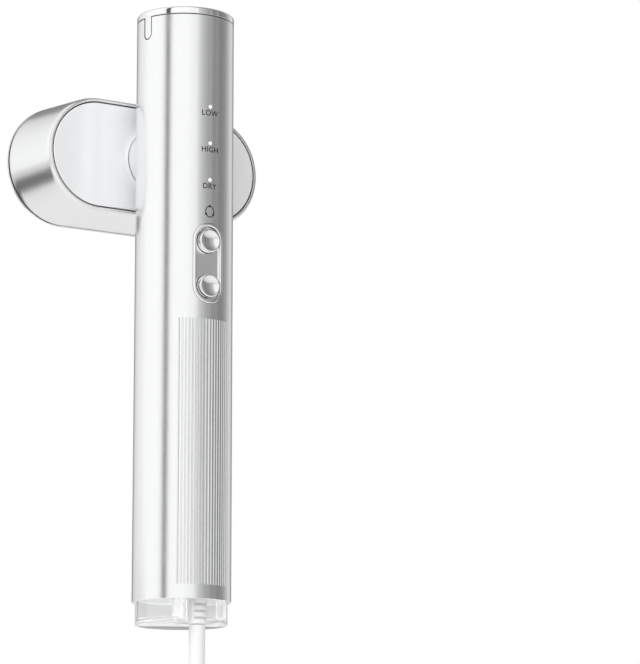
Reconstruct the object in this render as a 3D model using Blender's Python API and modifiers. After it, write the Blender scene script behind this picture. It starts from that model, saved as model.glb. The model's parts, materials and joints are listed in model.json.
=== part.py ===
"""Handheld garment steamer: a round handle with a swivelling steam head.

Frame: origin in the middle of the grip on the handle's axis, +Z up the handle,
the control face looks along -Y and the soleplate along +Y.
At rest the head lies across the handle, along X.
"""

import math

import bmesh
import bpy
from mathutils import Matrix, Vector

MM = 0.001

# Clearances
GAP = 0.3 * MM
SLIDE_GAP = 0.4 * MM

# Handle tube
TUBE_RADIUS = 22.0 * MM
TUBE_WALL = 1.2 * MM
TUBE_LENGTH = 263.4 * MM
GRIP_HEIGHT = 65.0 * MM
RIB_COUNT = 19
RIB_PITCH = math.radians(4.0)
GROOVE_WIDTH = 0.7 * MM
GROOVE_DEPTH = 0.45 * MM
RIB_FOOT = 6.3 * MM
RIB_TO_BEZEL = 7.0 * MM

# End cap
CAP_BAND = 3.3 * MM
CAP_SPIGOT = 6.0 * MM
TAB_ANGLE = math.radians(82.0)
TAB_WIDTH = 4.2 * MM
TAB_LENGTH = 9.7 * MM

# Controls, measured down from the tube's upper end
LED_DROP = 42.3 * MM
LED_PITCH = 16.8 * MM
LED_RADIUS = 0.8 * MM
BUTTONS_DROP = 113.9 * MM
BUTTON_PITCH = 20.4 * MM
BUTTON_RADIUS = 5.2 * MM
BUTTON_PROUD = 1.0 * MM
BUTTON_TRAVEL = 0.8 * MM
BEZEL_WIDTH = 15.5 * MM
BEZEL_HEIGHT = 36.3 * MM
BEZEL_RIM = 1.7 * MM
BEZEL_PROUD = 0.3 * MM
DECK_DEPTH = 2.2 * MM
DECK_THICK = 1.6 * MM

# Control board
BOARD_FRONT = 12.0 * MM
BOARD_THICK = 1.6 * MM
BOARD_WIDTH = 32.0 * MM
BOARD_TOP_DROP = 28.0 * MM
BOARD_BOTTOM_DROP = 141.4 * MM
SCREW_RADIUS = 1.2 * MM
SCREW_HEAD_RADIUS = 2.4 * MM
SCREW_HEAD = 1.6 * MM

# Inner frame
FRAME_WALL = 1.6 * MM
FRAME_TOP_DROP = 11.0 * MM

# Water tank
TANK_WALL = 1.4 * MM
TANK_FLOOR = 2.0 * MM
TANK_FOOT = 10.0 * MM
TANK_TOP = 60.0 * MM
TANK_TRAVEL = 72.0 * MM
CHANNEL_HALF = 7.5 * MM
CHANNEL_BACK = 7.5 * MM
SEAL_THICK = 0.8 * MM
LID_THICK = 1.8 * MM
FILLER_X = -12.0 * MM
FILLER_Y = 5.0 * MM
FILLER_RADIUS = 4.0 * MM
NIPPLE_RADIUS = 3.0 * MM
NIPPLE_LENGTH = 8.0 * MM
DOCK_HEIGHT = 66.0 * MM
DOCK_THICK = 3.0 * MM

# Pump
PUMP_Y = 4.0 * MM
PUMP_COIL_RADIUS = 10.5 * MM
PUMP_COIL_LENGTH = 24.0 * MM
PUMP_BODY_RADIUS = 5.5 * MM
PUMP_BORE = 4.0 * MM
PUMP_STROKE = 1.0 * MM
PISTON_LENGTH = 16.0 * MM
BARB_RADIUS = 2.4 * MM
BARB_BORE = 1.1 * MM
HOSE_RADIUS = 2.5 * MM

# Cord
CORD_RADIUS = 3.6 * MM
CORD_Y = -13.4 * MM
CORE_RADIUS = 2.75 * MM
RELIEF_TOP = 17.0 * MM
RELIEF_FOOT = 10.5 * MM
FLOOR_DROP = 180.0 * MM
COIL_X = 48.0 * MM
COIL_Y = 33.0 * MM
COIL_RADIUS = 42.0 * MM
COIL_COLUMNS = 2
COIL_LAYERS = 3
TIE_THICK = 1.0 * MM
TIE_WIDTH = 10.0 * MM
PLUG_WIDTH = 20.0 * MM
PLUG_HEIGHT = 14.0 * MM
PLUG_LENGTH = 30.0 * MM
PLUG_TAIL = 20.0 * MM
BLADE_LENGTH = 17.0 * MM
PLUG_ANGLE = 82.0
PLUG_HEADING = math.radians(100.0)

# Swivel
HUB_DROP = 58.4 * MM
SHAFT_RADIUS = 8.0 * MM
SHAFT_BORE = 5.8 * MM
BUSH_WALL = 1.7 * MM
BOSS_RADIUS = 15.2 * MM
BOSS_FACE = 24.5 * MM
NECK_FACE = 24.9 * MM
FLANGE_RADIUS = 13.0 * MM
RING_DEPTH = 1.6 * MM

# Head
HEAD_REAR = 26.0 * MM
HEAD_FRONT = 57.8 * MM
REAR_HALF_LENGTH = 55.4 * MM
REAR_HALF_WIDTH = 26.3 * MM
FRONT_HALF_LENGTH = 58.6 * MM
FRONT_HALF_WIDTH = 27.8 * MM
REAR_ROUND = 2.4 * MM
HEAD_WALL = 1.8 * MM
COVER_THICK = 2.0 * MM
COVER_INSET = 1.1 * MM
GASKET_THICK = 0.8 * MM
GASKET_INSET = 0.7 * MM
TRIM_DEPTH = 1.1 * MM
TRIM_WIDTH = 1.0 * MM
PLATE_THICK = 1.8 * MM
VENT_RADIUS = 1.65 * MM
VENT_PITCH = 10.4 * MM
SLOT_HALF_LENGTH = 3.0 * MM
DIMPLE_DEPTH = 0.5 * MM
PETAL_LENGTH = 6.7 * MM
PETAL_WIDTH = 2.7 * MM
PETAL_ALONG = 4.2 * MM
PETAL_ACROSS = 5.2 * MM
PETAL_TILT = math.radians(44.0)
PETAL_DEPTH = 0.35 * MM

# Boiler
BLOCK_END_MARGIN = 2.66 * MM
BLOCK_SIDE_MARGIN = 3.53 * MM
BLOCK_DEPTH = 13.9 * MM
CHAMBER_HALF_LENGTH = 34.0 * MM
CHAMBER_HALF_WIDTH = 8.0 * MM
CHAMBER_DEPTH = 9.0 * MM
BOILER_SEAL = 0.8 * MM
BOILER_COVER = 2.1 * MM
ELEMENT_RADIUS = 2.8 * MM
ELEMENT_LEG = 12.0 * MM
ELEMENT_DEPTH = 5.0 * MM
BOILER_SCREW_X = 24.0 * MM
BOILER_SCREW_INSET = 3.4 * MM
THERMOSTAT_RADIUS = 8.0 * MM
THERMOSTAT_THICK = 6.5 * MM

# Places worked out from the sizes above
BOTTOM = -GRIP_HEIGHT
TOP = BOTTOM + TUBE_LENGTH
BORE_RADIUS = TUBE_RADIUS - TUBE_WALL
HUB_Z = TOP - HUB_DROP
BUTTONS_Z = TOP - BUTTONS_DROP
DECK_FRONT = -(TUBE_RADIUS - DECK_DEPTH)
DECK_BACK = DECK_FRONT + DECK_THICK
BOARD_TOP = TOP - BOARD_TOP_DROP
BOARD_BOTTOM = TOP - BOARD_BOTTOM_DROP
FRAME_RADIUS = BORE_RADIUS - SLIDE_GAP
DOCK_Z = BOTTOM + DOCK_HEIGHT
TANK_RADIUS = BORE_RADIUS - SLIDE_GAP
BUSH_BORE = SHAFT_RADIUS + GAP
BUSH_RADIUS = BUSH_BORE + BUSH_WALL
FLOOR_Z = BOTTOM - FLOOR_DROP
COIL_HALF_WIDTH = COIL_COLUMNS * CORD_RADIUS
COIL_FOOT = FLOOR_Z + TIE_THICK + GAP
COIL_TOP = COIL_FOOT + 2.0 * CORD_RADIUS * COIL_LAYERS
GASKET_REAR = HEAD_FRONT + GAP
PLATE_REAR = GASKET_REAR + GASKET_THICK + GAP
PLATE_FRONT = PLATE_REAR + PLATE_THICK
BLOCK_FRONT = PLATE_REAR - GAP
BLOCK_REAR = BLOCK_FRONT - BLOCK_DEPTH
SEAL_REAR = BLOCK_REAR - GAP - BOILER_SEAL
BOILER_COVER_FRONT = SEAL_REAR - GAP
BOILER_COVER_REAR = BOILER_COVER_FRONT - BOILER_COVER
# The boiler's rear cover sits where the tapering shell is narrowest round it.
TAPER_SHARE = (BOILER_COVER_REAR - HEAD_REAR) / (HEAD_FRONT - HEAD_REAR)
ROOM_HALF_LENGTH = REAR_HALF_LENGTH + (FRONT_HALF_LENGTH - REAR_HALF_LENGTH) * TAPER_SHARE - HEAD_WALL
ROOM_HALF_WIDTH = REAR_HALF_WIDTH + (FRONT_HALF_WIDTH - REAR_HALF_WIDTH) * TAPER_SHARE - HEAD_WALL
BLOCK_HALF_LENGTH = ROOM_HALF_LENGTH - BLOCK_END_MARGIN
BLOCK_HALF_WIDTH = ROOM_HALF_WIDTH - BLOCK_SIDE_MARGIN

ALONG_Z = Matrix.Identity(4)
ALONG_Y = Matrix.Rotation(math.radians(-90.0), 4, "X")
UPRIGHT = Matrix.Rotation(math.radians(90.0), 4, "X")

# Each material: colour, roughness, metallic, alpha
FINISHES = {
    "satin_silver": ((0.80, 0.81, 0.82), 0.30, 0.9, 1.0),
    "chrome": ((0.88, 0.88, 0.90), 0.08, 1.0, 1.0),
    "polished_steel": ((0.74, 0.74, 0.75), 0.18, 1.0, 1.0),
    "steel": ((0.60, 0.60, 0.62), 0.35, 1.0, 1.0),
    "cast_aluminium": ((0.62, 0.63, 0.64), 0.55, 0.9, 1.0),
    "brass": ((0.78, 0.62, 0.30), 0.35, 1.0, 1.0),
    "copper_winding": ((0.72, 0.38, 0.18), 0.45, 0.8, 1.0),
    "white_plastic": ((0.86, 0.86, 0.85), 0.45, 0.0, 1.0),
    "grey_plastic": ((0.30, 0.31, 0.32), 0.50, 0.0, 1.0),
    "clear_plastic": ((0.92, 0.95, 0.96), 0.08, 0.0, 0.35),
    "milky_plastic": ((0.95, 0.95, 0.95), 0.30, 0.0, 1.0),
    "dark_silicone": ((0.05, 0.05, 0.05), 0.70, 0.0, 1.0),
    "clear_silicone": ((0.80, 0.80, 0.78), 0.50, 0.0, 1.0),
    "board_green": ((0.05, 0.25, 0.12), 0.50, 0.0, 1.0),
    "cord_white": ((0.84, 0.84, 0.83), 0.55, 0.0, 1.0),
}


# ---------------------------------------------------------------- helpers


def clear_scene():
    for obj in list(bpy.data.objects):
        bpy.data.objects.remove(obj, do_unlink=True)


def make_collection(name):
    group = bpy.data.collections.new(name)
    bpy.context.scene.collection.children.link(group)
    return group


def finish(name):
    """Return the named material, made on first use."""
    found = bpy.data.materials.get(name)
    if found:
        return found
    colour, roughness, metallic, alpha = FINISHES[name]
    made = bpy.data.materials.new(name)
    made.use_nodes = True
    shader = made.node_tree.nodes["Principled BSDF"]
    shader.inputs["Base Color"].default_value = (*colour, 1.0)
    shader.inputs["Roughness"].default_value = roughness
    shader.inputs["Metallic"].default_value = metallic
    shader.inputs["Alpha"].default_value = alpha
    made.diffuse_color = (*colour, alpha)
    return made


def add(name, mesh, matrix=ALONG_Z):
    """Put a mesh in the parts collection as a named object."""
    obj = bpy.data.objects.new(name, mesh)
    obj.matrix_world = matrix
    PARTS.objects.link(obj)
    return obj


def dress(obj, material):
    obj.data.materials.clear()
    obj.data.materials.append(finish(material))
    obj.data.shade_smooth()
    obj.data.set_sharp_from_angle(angle=math.radians(35.0))
    return obj


def at(x, y, z, turn=ALONG_Z):
    return Matrix.Translation((x, y, z)) @ turn


def box(name, low, high):
    """A box between two corners, with its origin at its centre."""
    low, high = Vector(low), Vector(high)
    mesh = bpy.data.meshes.new(name)
    shape = bmesh.new()
    bmesh.ops.create_cube(shape, size=1.0)
    bmesh.ops.scale(shape, vec=high - low, verts=shape.verts)
    shape.to_mesh(mesh)
    shape.free()
    return add(name, mesh, Matrix.Translation((low + high) / 2.0))


def turned(name, profile, matrix=ALONG_Z, steps=40, ring=False):
    """Turn a profile of (radius, height) points, given from top to bottom, about local Z."""
    mesh = bpy.data.meshes.new(name)
    links = [(i, i + 1) for i in range(len(profile) - 1)]
    if ring:
        links.append((len(profile) - 1, 0))
    mesh.from_pydata([(radius, 0.0, height) for radius, height in profile], links, [])
    obj = add(name, mesh, matrix)
    screw = obj.modifiers.new("turn", "SCREW")
    screw.axis = "Z"
    screw.steps = steps
    screw.render_steps = steps
    screw.use_merge_vertices = True
    screw.merge_threshold = 0.00001
    return obj


def rod(name, radius, start, end, matrix=ALONG_Z, steps=24):
    """A solid cylinder between two heights of local Z."""
    return turned(name, [(0.0, end), (radius, end), (radius, start), (0.0, start)], matrix, steps)


def sleeve(name, outer, inner, start, end, matrix=ALONG_Z, steps=40):
    """A plain ring between two heights of local Z."""
    profile = [(outer, end), (outer, start), (inner, start), (inner, end)]
    return turned(name, profile, matrix, steps, ring=True)


def solid_of(obj):
    """Replace an object by a plain mesh of what it evaluates to, welded, at the same place."""
    graph = bpy.context.evaluated_depsgraph_get()
    graph.update()
    mesh = bpy.data.meshes.new_from_object(obj.evaluated_get(graph))
    name = obj.name
    matrix = obj.matrix_world.copy()
    bpy.data.objects.remove(obj, do_unlink=True)
    shape = bmesh.new()
    shape.from_mesh(mesh)
    bmesh.ops.remove_doubles(shape, verts=shape.verts, dist=0.000002)
    bmesh.ops.recalc_face_normals(shape, faces=shape.faces)
    shape.to_mesh(mesh)
    shape.free()
    mesh.name = name
    return add(name, mesh, matrix)


def plate(name, outlines, start, end, turn=ALONG_Z):
    """A flat outline with holes, extruded from start to end along the turned local Z."""
    curve = bpy.data.curves.new(name, "CURVE")
    curve.dimensions = "2D"
    curve.fill_mode = "BOTH"
    curve.extrude = (end - start) / 2.0
    for outline in outlines:
        spline = curve.splines.new("POLY")
        spline.points.add(len(outline) - 1)
        for point, (x, y) in zip(spline.points, outline):
            point.co = (x, y, 0.0, 1.0)
        spline.use_cyclic_u = True
    obj = bpy.data.objects.new(name, curve)
    obj.matrix_world = turn @ Matrix.Translation((0.0, 0.0, (start + end) / 2.0))
    PARTS.objects.link(obj)
    return solid_of(obj)


def upright_plate(name, outlines, start, end, centre=(0.0, 0.0)):
    """A plate across Y: its outline is in X and Z about the centre, from Y start to Y end."""
    turn = Matrix.Translation((centre[0], 0.0, centre[1])) @ UPRIGHT
    return plate(name, outlines, -end, -start, turn)


def tube(name, points, radius, resolution=2):
    """A solid round tube along points."""
    curve = bpy.data.curves.new(name, "CURVE")
    curve.dimensions = "3D"
    curve.bevel_depth = radius
    curve.bevel_resolution = resolution
    curve.use_fill_caps = True
    spline = curve.splines.new("POLY")
    spline.points.add(len(points) - 1)
    for point, place in zip(spline.points, points):
        point.co = (*place, 1.0)
    obj = bpy.data.objects.new(name, curve)
    PARTS.objects.link(obj)
    return solid_of(obj)


def combine(obj, other, operation="DIFFERENCE"):
    """Boolean with another object, which becomes a hidden cutter."""
    for group in list(other.users_collection):
        group.objects.unlink(other)
    CUTTERS.objects.link(other)
    other.hide_render = True
    other.display_type = "WIRE"
    other.name = f"cutter_{other.name}"
    modifier = obj.modifiers.new(f"{operation.lower()}_{len(obj.modifiers)}", "BOOLEAN")
    modifier.operation = operation
    modifier.solver = "EXACT"
    modifier.object = other
    return obj


def joined(name, objects):
    """One object of several separate shapes, used as a single cutter."""
    shape = bmesh.new()
    graph = bpy.context.evaluated_depsgraph_get()
    graph.update()
    for obj in objects:
        mesh = bpy.data.meshes.new_from_object(obj.evaluated_get(graph))
        mesh.transform(obj.matrix_world)
        shape.from_mesh(mesh)
        bpy.data.meshes.remove(mesh)
        bpy.data.objects.remove(obj, do_unlink=True)
    mesh = bpy.data.meshes.new(name)
    shape.to_mesh(mesh)
    shape.free()
    return add(name, mesh)


def circle(radius, centre=(0.0, 0.0), count=16):
    angles = [2.0 * math.pi * i / count for i in range(count)]
    return [(centre[0] + radius * math.cos(a), centre[1] + radius * math.sin(a)) for a in angles]


def stadium(half_length, half_width, count=14):
    """Outline with round ends, long along the first axis."""
    reach = half_length - half_width
    points = []
    for side in (1.0, -1.0):
        for i in range(count + 1):
            angle = math.pi * (i / count - 0.5)
            points.append((side * (reach + half_width * math.cos(angle)), side * half_width * math.sin(angle)))
    return points


def standing(outline):
    """The same outline with its long side along the second axis."""
    return [(y, -x) for x, y in outline]


def ellipse(length, width, centre, tilt, count=14):
    points = []
    for i in range(count):
        angle = 2.0 * math.pi * i / count
        u, v = length / 2.0 * math.cos(angle), width / 2.0 * math.sin(angle)
        x = centre[0] + u * math.cos(tilt) - v * math.sin(tilt)
        points.append((x, centre[1] + u * math.sin(tilt) + v * math.cos(tilt)))
    return points


def loft(name, sections):
    """A closed solid through stadium sections (y, half length, half width) across Y at the hub."""
    shape = bmesh.new()
    rings = []
    for y, half_length, half_width in sections:
        outline = stadium(half_length, half_width)
        rings.append([shape.verts.new((x, y, z)) for x, z in outline])
    for first, second in zip(rings, rings[1:]):
        for i in range(len(first)):
            after = (i + 1) % len(first)
            shape.faces.new((first[i], first[after], second[after], second[i]))
    shape.faces.new(rings[0])
    shape.faces.new(rings[-1])
    bmesh.ops.recalc_face_normals(shape, faces=shape.faces)
    mesh = bpy.data.meshes.new(name)
    shape.to_mesh(mesh)
    shape.free()
    return add(name, mesh, at(0.0, 0.0, HUB_Z))


def smooth_route(points, spacing):
    """Points at about the given spacing on a smooth curve through the route's points."""
    places = [Vector(point) for point in points]
    padded = [2.0 * places[0] - places[1], *places, 2.0 * places[-1] - places[-2]]
    fine = []
    for i in range(1, len(padded) - 2):
        before, start, end, after = padded[i - 1 : i + 3]
        for step in range(20):
            t = step / 20.0
            fine.append(
                0.5
                * (
                    2.0 * start
                    + (end - before) * t
                    + (2.0 * before - 5.0 * start + 4.0 * end - after) * t * t
                    + (3.0 * start - before - 3.0 * end + after) * t**3
                )
            )
    fine.append(places[-1])
    chosen = [fine[0]]
    travelled = 0.0
    for previous, place in zip(fine, fine[1:]):
        travelled += (place - previous).length
        if travelled >= spacing:
            chosen.append(place)
            travelled = 0.0
    if (chosen[-1] - fine[-1]).length > spacing * 0.4:
        chosen.append(fine[-1])
    else:
        chosen[-1] = fine[-1]
    return [tuple(place) for place in chosen]


def hold(parent, *objects):
    """Parent objects to an empty without moving them."""
    for obj in objects:
        obj.parent = parent
        obj.matrix_parent_inverse = parent.matrix_world.inverted()


def empty(name, place):
    obj = bpy.data.objects.new(name, None)
    obj.empty_display_size = 0.01
    obj.matrix_world = Matrix.Translation(place)
    PARTS.objects.link(obj)
    return obj


# ---------------------------------------------------------------- handle


def bezel_outline(margin):
    return standing(stadium(BEZEL_HEIGHT / 2.0 + margin, BEZEL_WIDTH / 2.0 + margin, 10))


def led_heights():
    return [TOP - LED_DROP - LED_PITCH * i for i in range(3)]


def button_heights():
    return [BUTTONS_Z + BUTTON_PITCH / 2.0, BUTTONS_Z - BUTTON_PITCH / 2.0]


def tab_prism(name, margin, foot):
    """Two tall blocks with round feet through the wall, one on each side of the handle."""
    half = TAB_WIDTH / 2.0 + margin
    sides = []
    for side in (-1.0, 1.0):
        arc = [math.pi * (1.0 + i / 8.0) for i in range(9)]
        outline = [(half * math.cos(a), foot + half + half * math.sin(a)) for a in arc]
        outline += [(half, TOP + CAP_BAND), (-half, TOP + CAP_BAND)]
        turn = Matrix.Rotation(side * TAB_ANGLE, 4, "Z") @ UPRIGHT
        sides.append(plate(f"{name}_{side:+.0f}", [outline], BORE_RADIUS - 3.0 * MM, TUBE_RADIUS + 3.0 * MM, turn))
    return joined(name, sides)


def rib_grooves():
    """Straight grooves that leave the grip's ribs between them."""
    top = BUTTONS_Z - BEZEL_HEIGHT / 2.0 - RIB_TO_BEZEL
    blocks = []
    for i in range(RIB_COUNT):
        angle = (i - (RIB_COUNT - 1) / 2.0) * RIB_PITCH
        block = box(
            f"groove_{i}",
            (-GROOVE_WIDTH / 2.0, -TUBE_RADIUS - 1.0 * MM, BOTTOM + RIB_FOOT),
            (GROOVE_WIDTH / 2.0, -TUBE_RADIUS + GROOVE_DEPTH, top),
        )
        block.matrix_world = Matrix.Rotation(angle, 4, "Z") @ block.matrix_world
        blocks.append(block)
    return joined("grooves", blocks)


def handle_tube():
    obj = sleeve("handle_tube", TUBE_RADIUS, BORE_RADIUS, BOTTOM, TOP, steps=72)
    window = upright_plate("bezel_window", [bezel_outline(GAP)], -TUBE_RADIUS * 1.2, -BOARD_FRONT, (0.0, BUTTONS_Z))
    combine(obj, window)
    holes = [
        rod(f"led_hole_{i}", LED_RADIUS + GAP, -TUBE_RADIUS * 1.2, -BOARD_FRONT, at(0.0, 0.0, z, ALONG_Y), 12)
        for i, z in enumerate(led_heights())
    ]
    combine(obj, joined("led_holes", holes))
    combine(obj, rod("hub_hole", BUSH_RADIUS + GAP, BOARD_FRONT, TUBE_RADIUS * 1.2, at(0.0, 0.0, HUB_Z, ALONG_Y), 32))
    combine(obj, tab_prism("tab_notch", GAP, TOP - TAB_LENGTH - GAP))
    combine(obj, rib_grooves())
    return dress(obj, "satin_silver")


def top_cap():
    """End cap: a flush band, a spigot inside the tube and two side tabs in the tube's notches."""
    low = TOP + GAP
    inner = BORE_RADIUS - GAP
    profile = [
        (0.0, low + CAP_BAND),
        (TUBE_RADIUS - 0.6 * MM, low + CAP_BAND),
        (TUBE_RADIUS, low + CAP_BAND - 0.6 * MM),
        (TUBE_RADIUS, low),
        (inner, low),
        (inner, low - CAP_SPIGOT),
        (inner - 1.4 * MM, low - CAP_SPIGOT),
        (inner - 1.4 * MM, low + 1.0 * MM),
        (0.0, low + 1.0 * MM),
    ]
    obj = turned("top_cap", profile, steps=72)
    tabs = sleeve("tab_ring", TUBE_RADIUS, inner - 1.0 * MM, TOP - TAB_LENGTH - 1.0 * MM, TOP + CAP_BAND / 2.0, steps=72)
    combine(tabs, tab_prism("tab_shape", 0.0, TOP - TAB_LENGTH), "INTERSECT")
    combine(obj, tabs, "UNION")
    return dress(obj, "chrome")


def board_screw_heights():
    return [BOARD_TOP - 6.0 * MM, BOARD_BOTTOM + 6.0 * MM]


def board_screw_places():
    return [(0.0, z) for z in board_screw_heights()]


def inner_frame():
    """Open shell behind the control board, with two cross bars that take its screws."""
    low = DOCK_Z + DOCK_THICK + GAP
    front = -BOARD_FRONT + BOARD_THICK + GAP
    obj = sleeve("inner_frame", FRAME_RADIUS, FRAME_RADIUS - FRAME_WALL, low, TOP - FRAME_TOP_DROP, steps=48)
    combine(obj, box("frame_front", (-TUBE_RADIUS, -TUBE_RADIUS, low - GAP), (TUBE_RADIUS, front, TOP)))
    reach = FRAME_RADIUS - FRAME_WALL / 2.0
    for i, z in enumerate(board_screw_heights()):
        half = math.sqrt(reach**2 - front**2)
        bar = box(f"bar_{i}", (-half, front, z - 3.0 * MM), (half, front + 4.0 * MM, z + 3.0 * MM))
        combine(obj, bar, "UNION")
    hub = rod("frame_hub_hole", BUSH_RADIUS + 2.5 * MM, 0.0, TUBE_RADIUS, at(0.0, 0.0, HUB_Z, ALONG_Y), 32)
    combine(obj, hub)
    holes = [
        rod(f"bar_hole_{i}", SCREW_RADIUS + GAP, front - 1.0 * MM, front + 5.0 * MM, at(x, 0.0, z, ALONG_Y), 12)
        for i, (x, z) in enumerate(board_screw_places())
    ]
    combine(obj, joined("bar_holes", holes))
    return dress(obj, "grey_plastic")


def control_board():
    half = BOARD_WIDTH / 2.0
    middle = (BOARD_TOP + BOARD_BOTTOM) / 2.0
    tall = (BOARD_TOP - BOARD_BOTTOM) / 2.0
    outlines = [[(-half, -tall), (half, -tall), (half, tall), (-half, tall)]]
    outlines += [circle(SCREW_RADIUS + GAP, (x, z - middle), 12) for x, z in board_screw_places()]
    board = upright_plate(
        "control_board", outlines, -BOARD_FRONT, -BOARD_FRONT + BOARD_THICK, (0.0, middle)
    )
    return dress(board, "board_green")


def screw(name, place, turn, shank, radius=SCREW_RADIUS, head_radius=SCREW_HEAD_RADIUS):
    """Pan-head screw: head above local zero, shank below it."""
    profile = [
        (0.0, SCREW_HEAD),
        (head_radius * 0.75, SCREW_HEAD),
        (head_radius, SCREW_HEAD * 0.4),
        (head_radius, 0.0),
        (radius, 0.0),
        (radius, -shank),
        (0.0, -shank),
    ]
    return dress(turned(name, profile, at(*place, turn), 12), "steel")


def board_screws():
    """Two screws through the board, one into each of the frame's bars."""
    front = -BOARD_FRONT - GAP
    shank = GAP + BOARD_THICK + GAP + 3.0 * MM
    for i, (x, z) in enumerate(board_screw_places()):
        screw(f"board_screw_{i + 1}", (x, front, z), UPRIGHT, shank)


def leds():
    front = -BOARD_FRONT - GAP
    for name, z in zip(("led_low", "led_high", "led_dry"), led_heights()):
        chip = box(name, (-1.0 * MM, front - 0.8 * MM, z - 0.6 * MM), (1.0 * MM, front, z + 0.6 * MM))
        dress(chip, "milky_plastic")


def light_guide():
    """One clear moulding: a bar behind the wall and a pin through each indicator hole."""
    back = -BOARD_FRONT - 1.6 * MM
    heights = led_heights()
    bar = box(
        "light_guide",
        (-2.5 * MM, back - 2.0 * MM, heights[-1] - 3.0 * MM),
        (2.5 * MM, back, heights[0] + 3.0 * MM),
    )
    for i, z in enumerate(heights):
        pin = rod(f"light_pin_{i}", LED_RADIUS, -TUBE_RADIUS, back - 1.0 * MM, at(0.0, 0.0, z, ALONG_Y), 12)
        combine(bar, pin, "UNION")
    return dress(bar, "milky_plastic")


def button_bezel():
    """Curved rim that follows the tube, with a sunk deck that guides the two buttons."""
    rim_back = math.hypot(DECK_BACK, BEZEL_WIDTH / 2.0)
    obj = sleeve(
        "button_bezel",
        TUBE_RADIUS + BEZEL_PROUD,
        rim_back,
        BUTTONS_Z - BEZEL_HEIGHT,
        BUTTONS_Z + BEZEL_HEIGHT,
        steps=96,
    )
    keep = upright_plate("bezel_keep", [bezel_outline(0.0)], -TUBE_RADIUS * 1.3, -BOARD_FRONT, (0.0, BUTTONS_Z))
    combine(obj, keep, "INTERSECT")
    cut = upright_plate("bezel_cut", [bezel_outline(-BEZEL_RIM)], -TUBE_RADIUS * 1.4, 0.0, (0.0, BUTTONS_Z))
    combine(obj, cut)
    deck = upright_plate("bezel_deck", [bezel_outline(-BEZEL_RIM / 2.0)], DECK_FRONT, DECK_BACK, (0.0, BUTTONS_Z))
    combine(obj, deck, "UNION")
    for i, z in enumerate(button_heights()):
        hole = rod(f"button_hole_{i}", BUTTON_RADIUS + GAP, -TUBE_RADIUS * 1.4, 0.0, at(0.0, 0.0, z, ALONG_Y), 32)
        combine(obj, hole)
    return dress(obj, "chrome")


def buttons():
    """Two stepped chrome caps whose flanges sit behind the deck; each slides along Y."""
    made = []
    flange_front = DECK_BACK + 0.5 * MM
    for name, z in zip(("power_button", "mode_button"), button_heights()):
        profile = [
            (0.0, TUBE_RADIUS + BUTTON_PROUD),
            (BUTTON_RADIUS * 0.6, TUBE_RADIUS + BUTTON_PROUD - 0.1 * MM),
            (BUTTON_RADIUS * 0.92, TUBE_RADIUS + BUTTON_PROUD - 0.5 * MM),
            (BUTTON_RADIUS, TUBE_RADIUS + BUTTON_PROUD - 1.1 * MM),
            (BUTTON_RADIUS, -flange_front),
            (BUTTON_RADIUS + 0.9 * MM, -flange_front),
            (BUTTON_RADIUS + 0.9 * MM, -flange_front - 1.0 * MM),
            (0.0, -flange_front - 1.0 * MM),
        ]
        turn = Matrix.Rotation(math.radians(90.0), 4, "X")
        made.append(dress(turned(name, profile, at(0.0, 0.0, z, turn), 32), "chrome"))
    return made


def tact_switches():
    """Switch bodies on the board; each plunger stops just short of its pressed button."""
    flange_back = DECK_BACK + 1.5 * MM
    tip = flange_back + BUTTON_TRAVEL + GAP
    for name, z in zip(("power_switch", "mode_switch"), button_heights()):
        body = box(name, (-3.0 * MM, -BOARD_FRONT - 2.0 * MM, z - 3.0 * MM), (3.0 * MM, -BOARD_FRONT - GAP, z + 3.0 * MM))
        plunger = rod(f"{name}_plunger", 1.6 * MM, tip, -BOARD_FRONT - 1.5 * MM, at(0.0, 0.0, z, ALONG_Y), 16)
        combine(body, plunger, "UNION")
        dress(body, "grey_plastic")


# ---------------------------------------------------------------- tank and dock


def tank_outline(inset):
    """Round outline with a straight-sided channel at the front for the cord."""
    radius = TANK_RADIUS - inset
    half = CHANNEL_HALF + inset
    back = -CHANNEL_BACK + inset
    start = math.asin(half / radius) - math.pi / 2.0
    sweep = 2.0 * math.pi - 2.0 * math.asin(half / radius)
    count = 44
    points = [
        (radius * math.cos(start + sweep * i / count), radius * math.sin(start + sweep * i / count))
        for i in range(count + 1)
    ]
    return points + [(-half, back), (half, back)]


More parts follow.
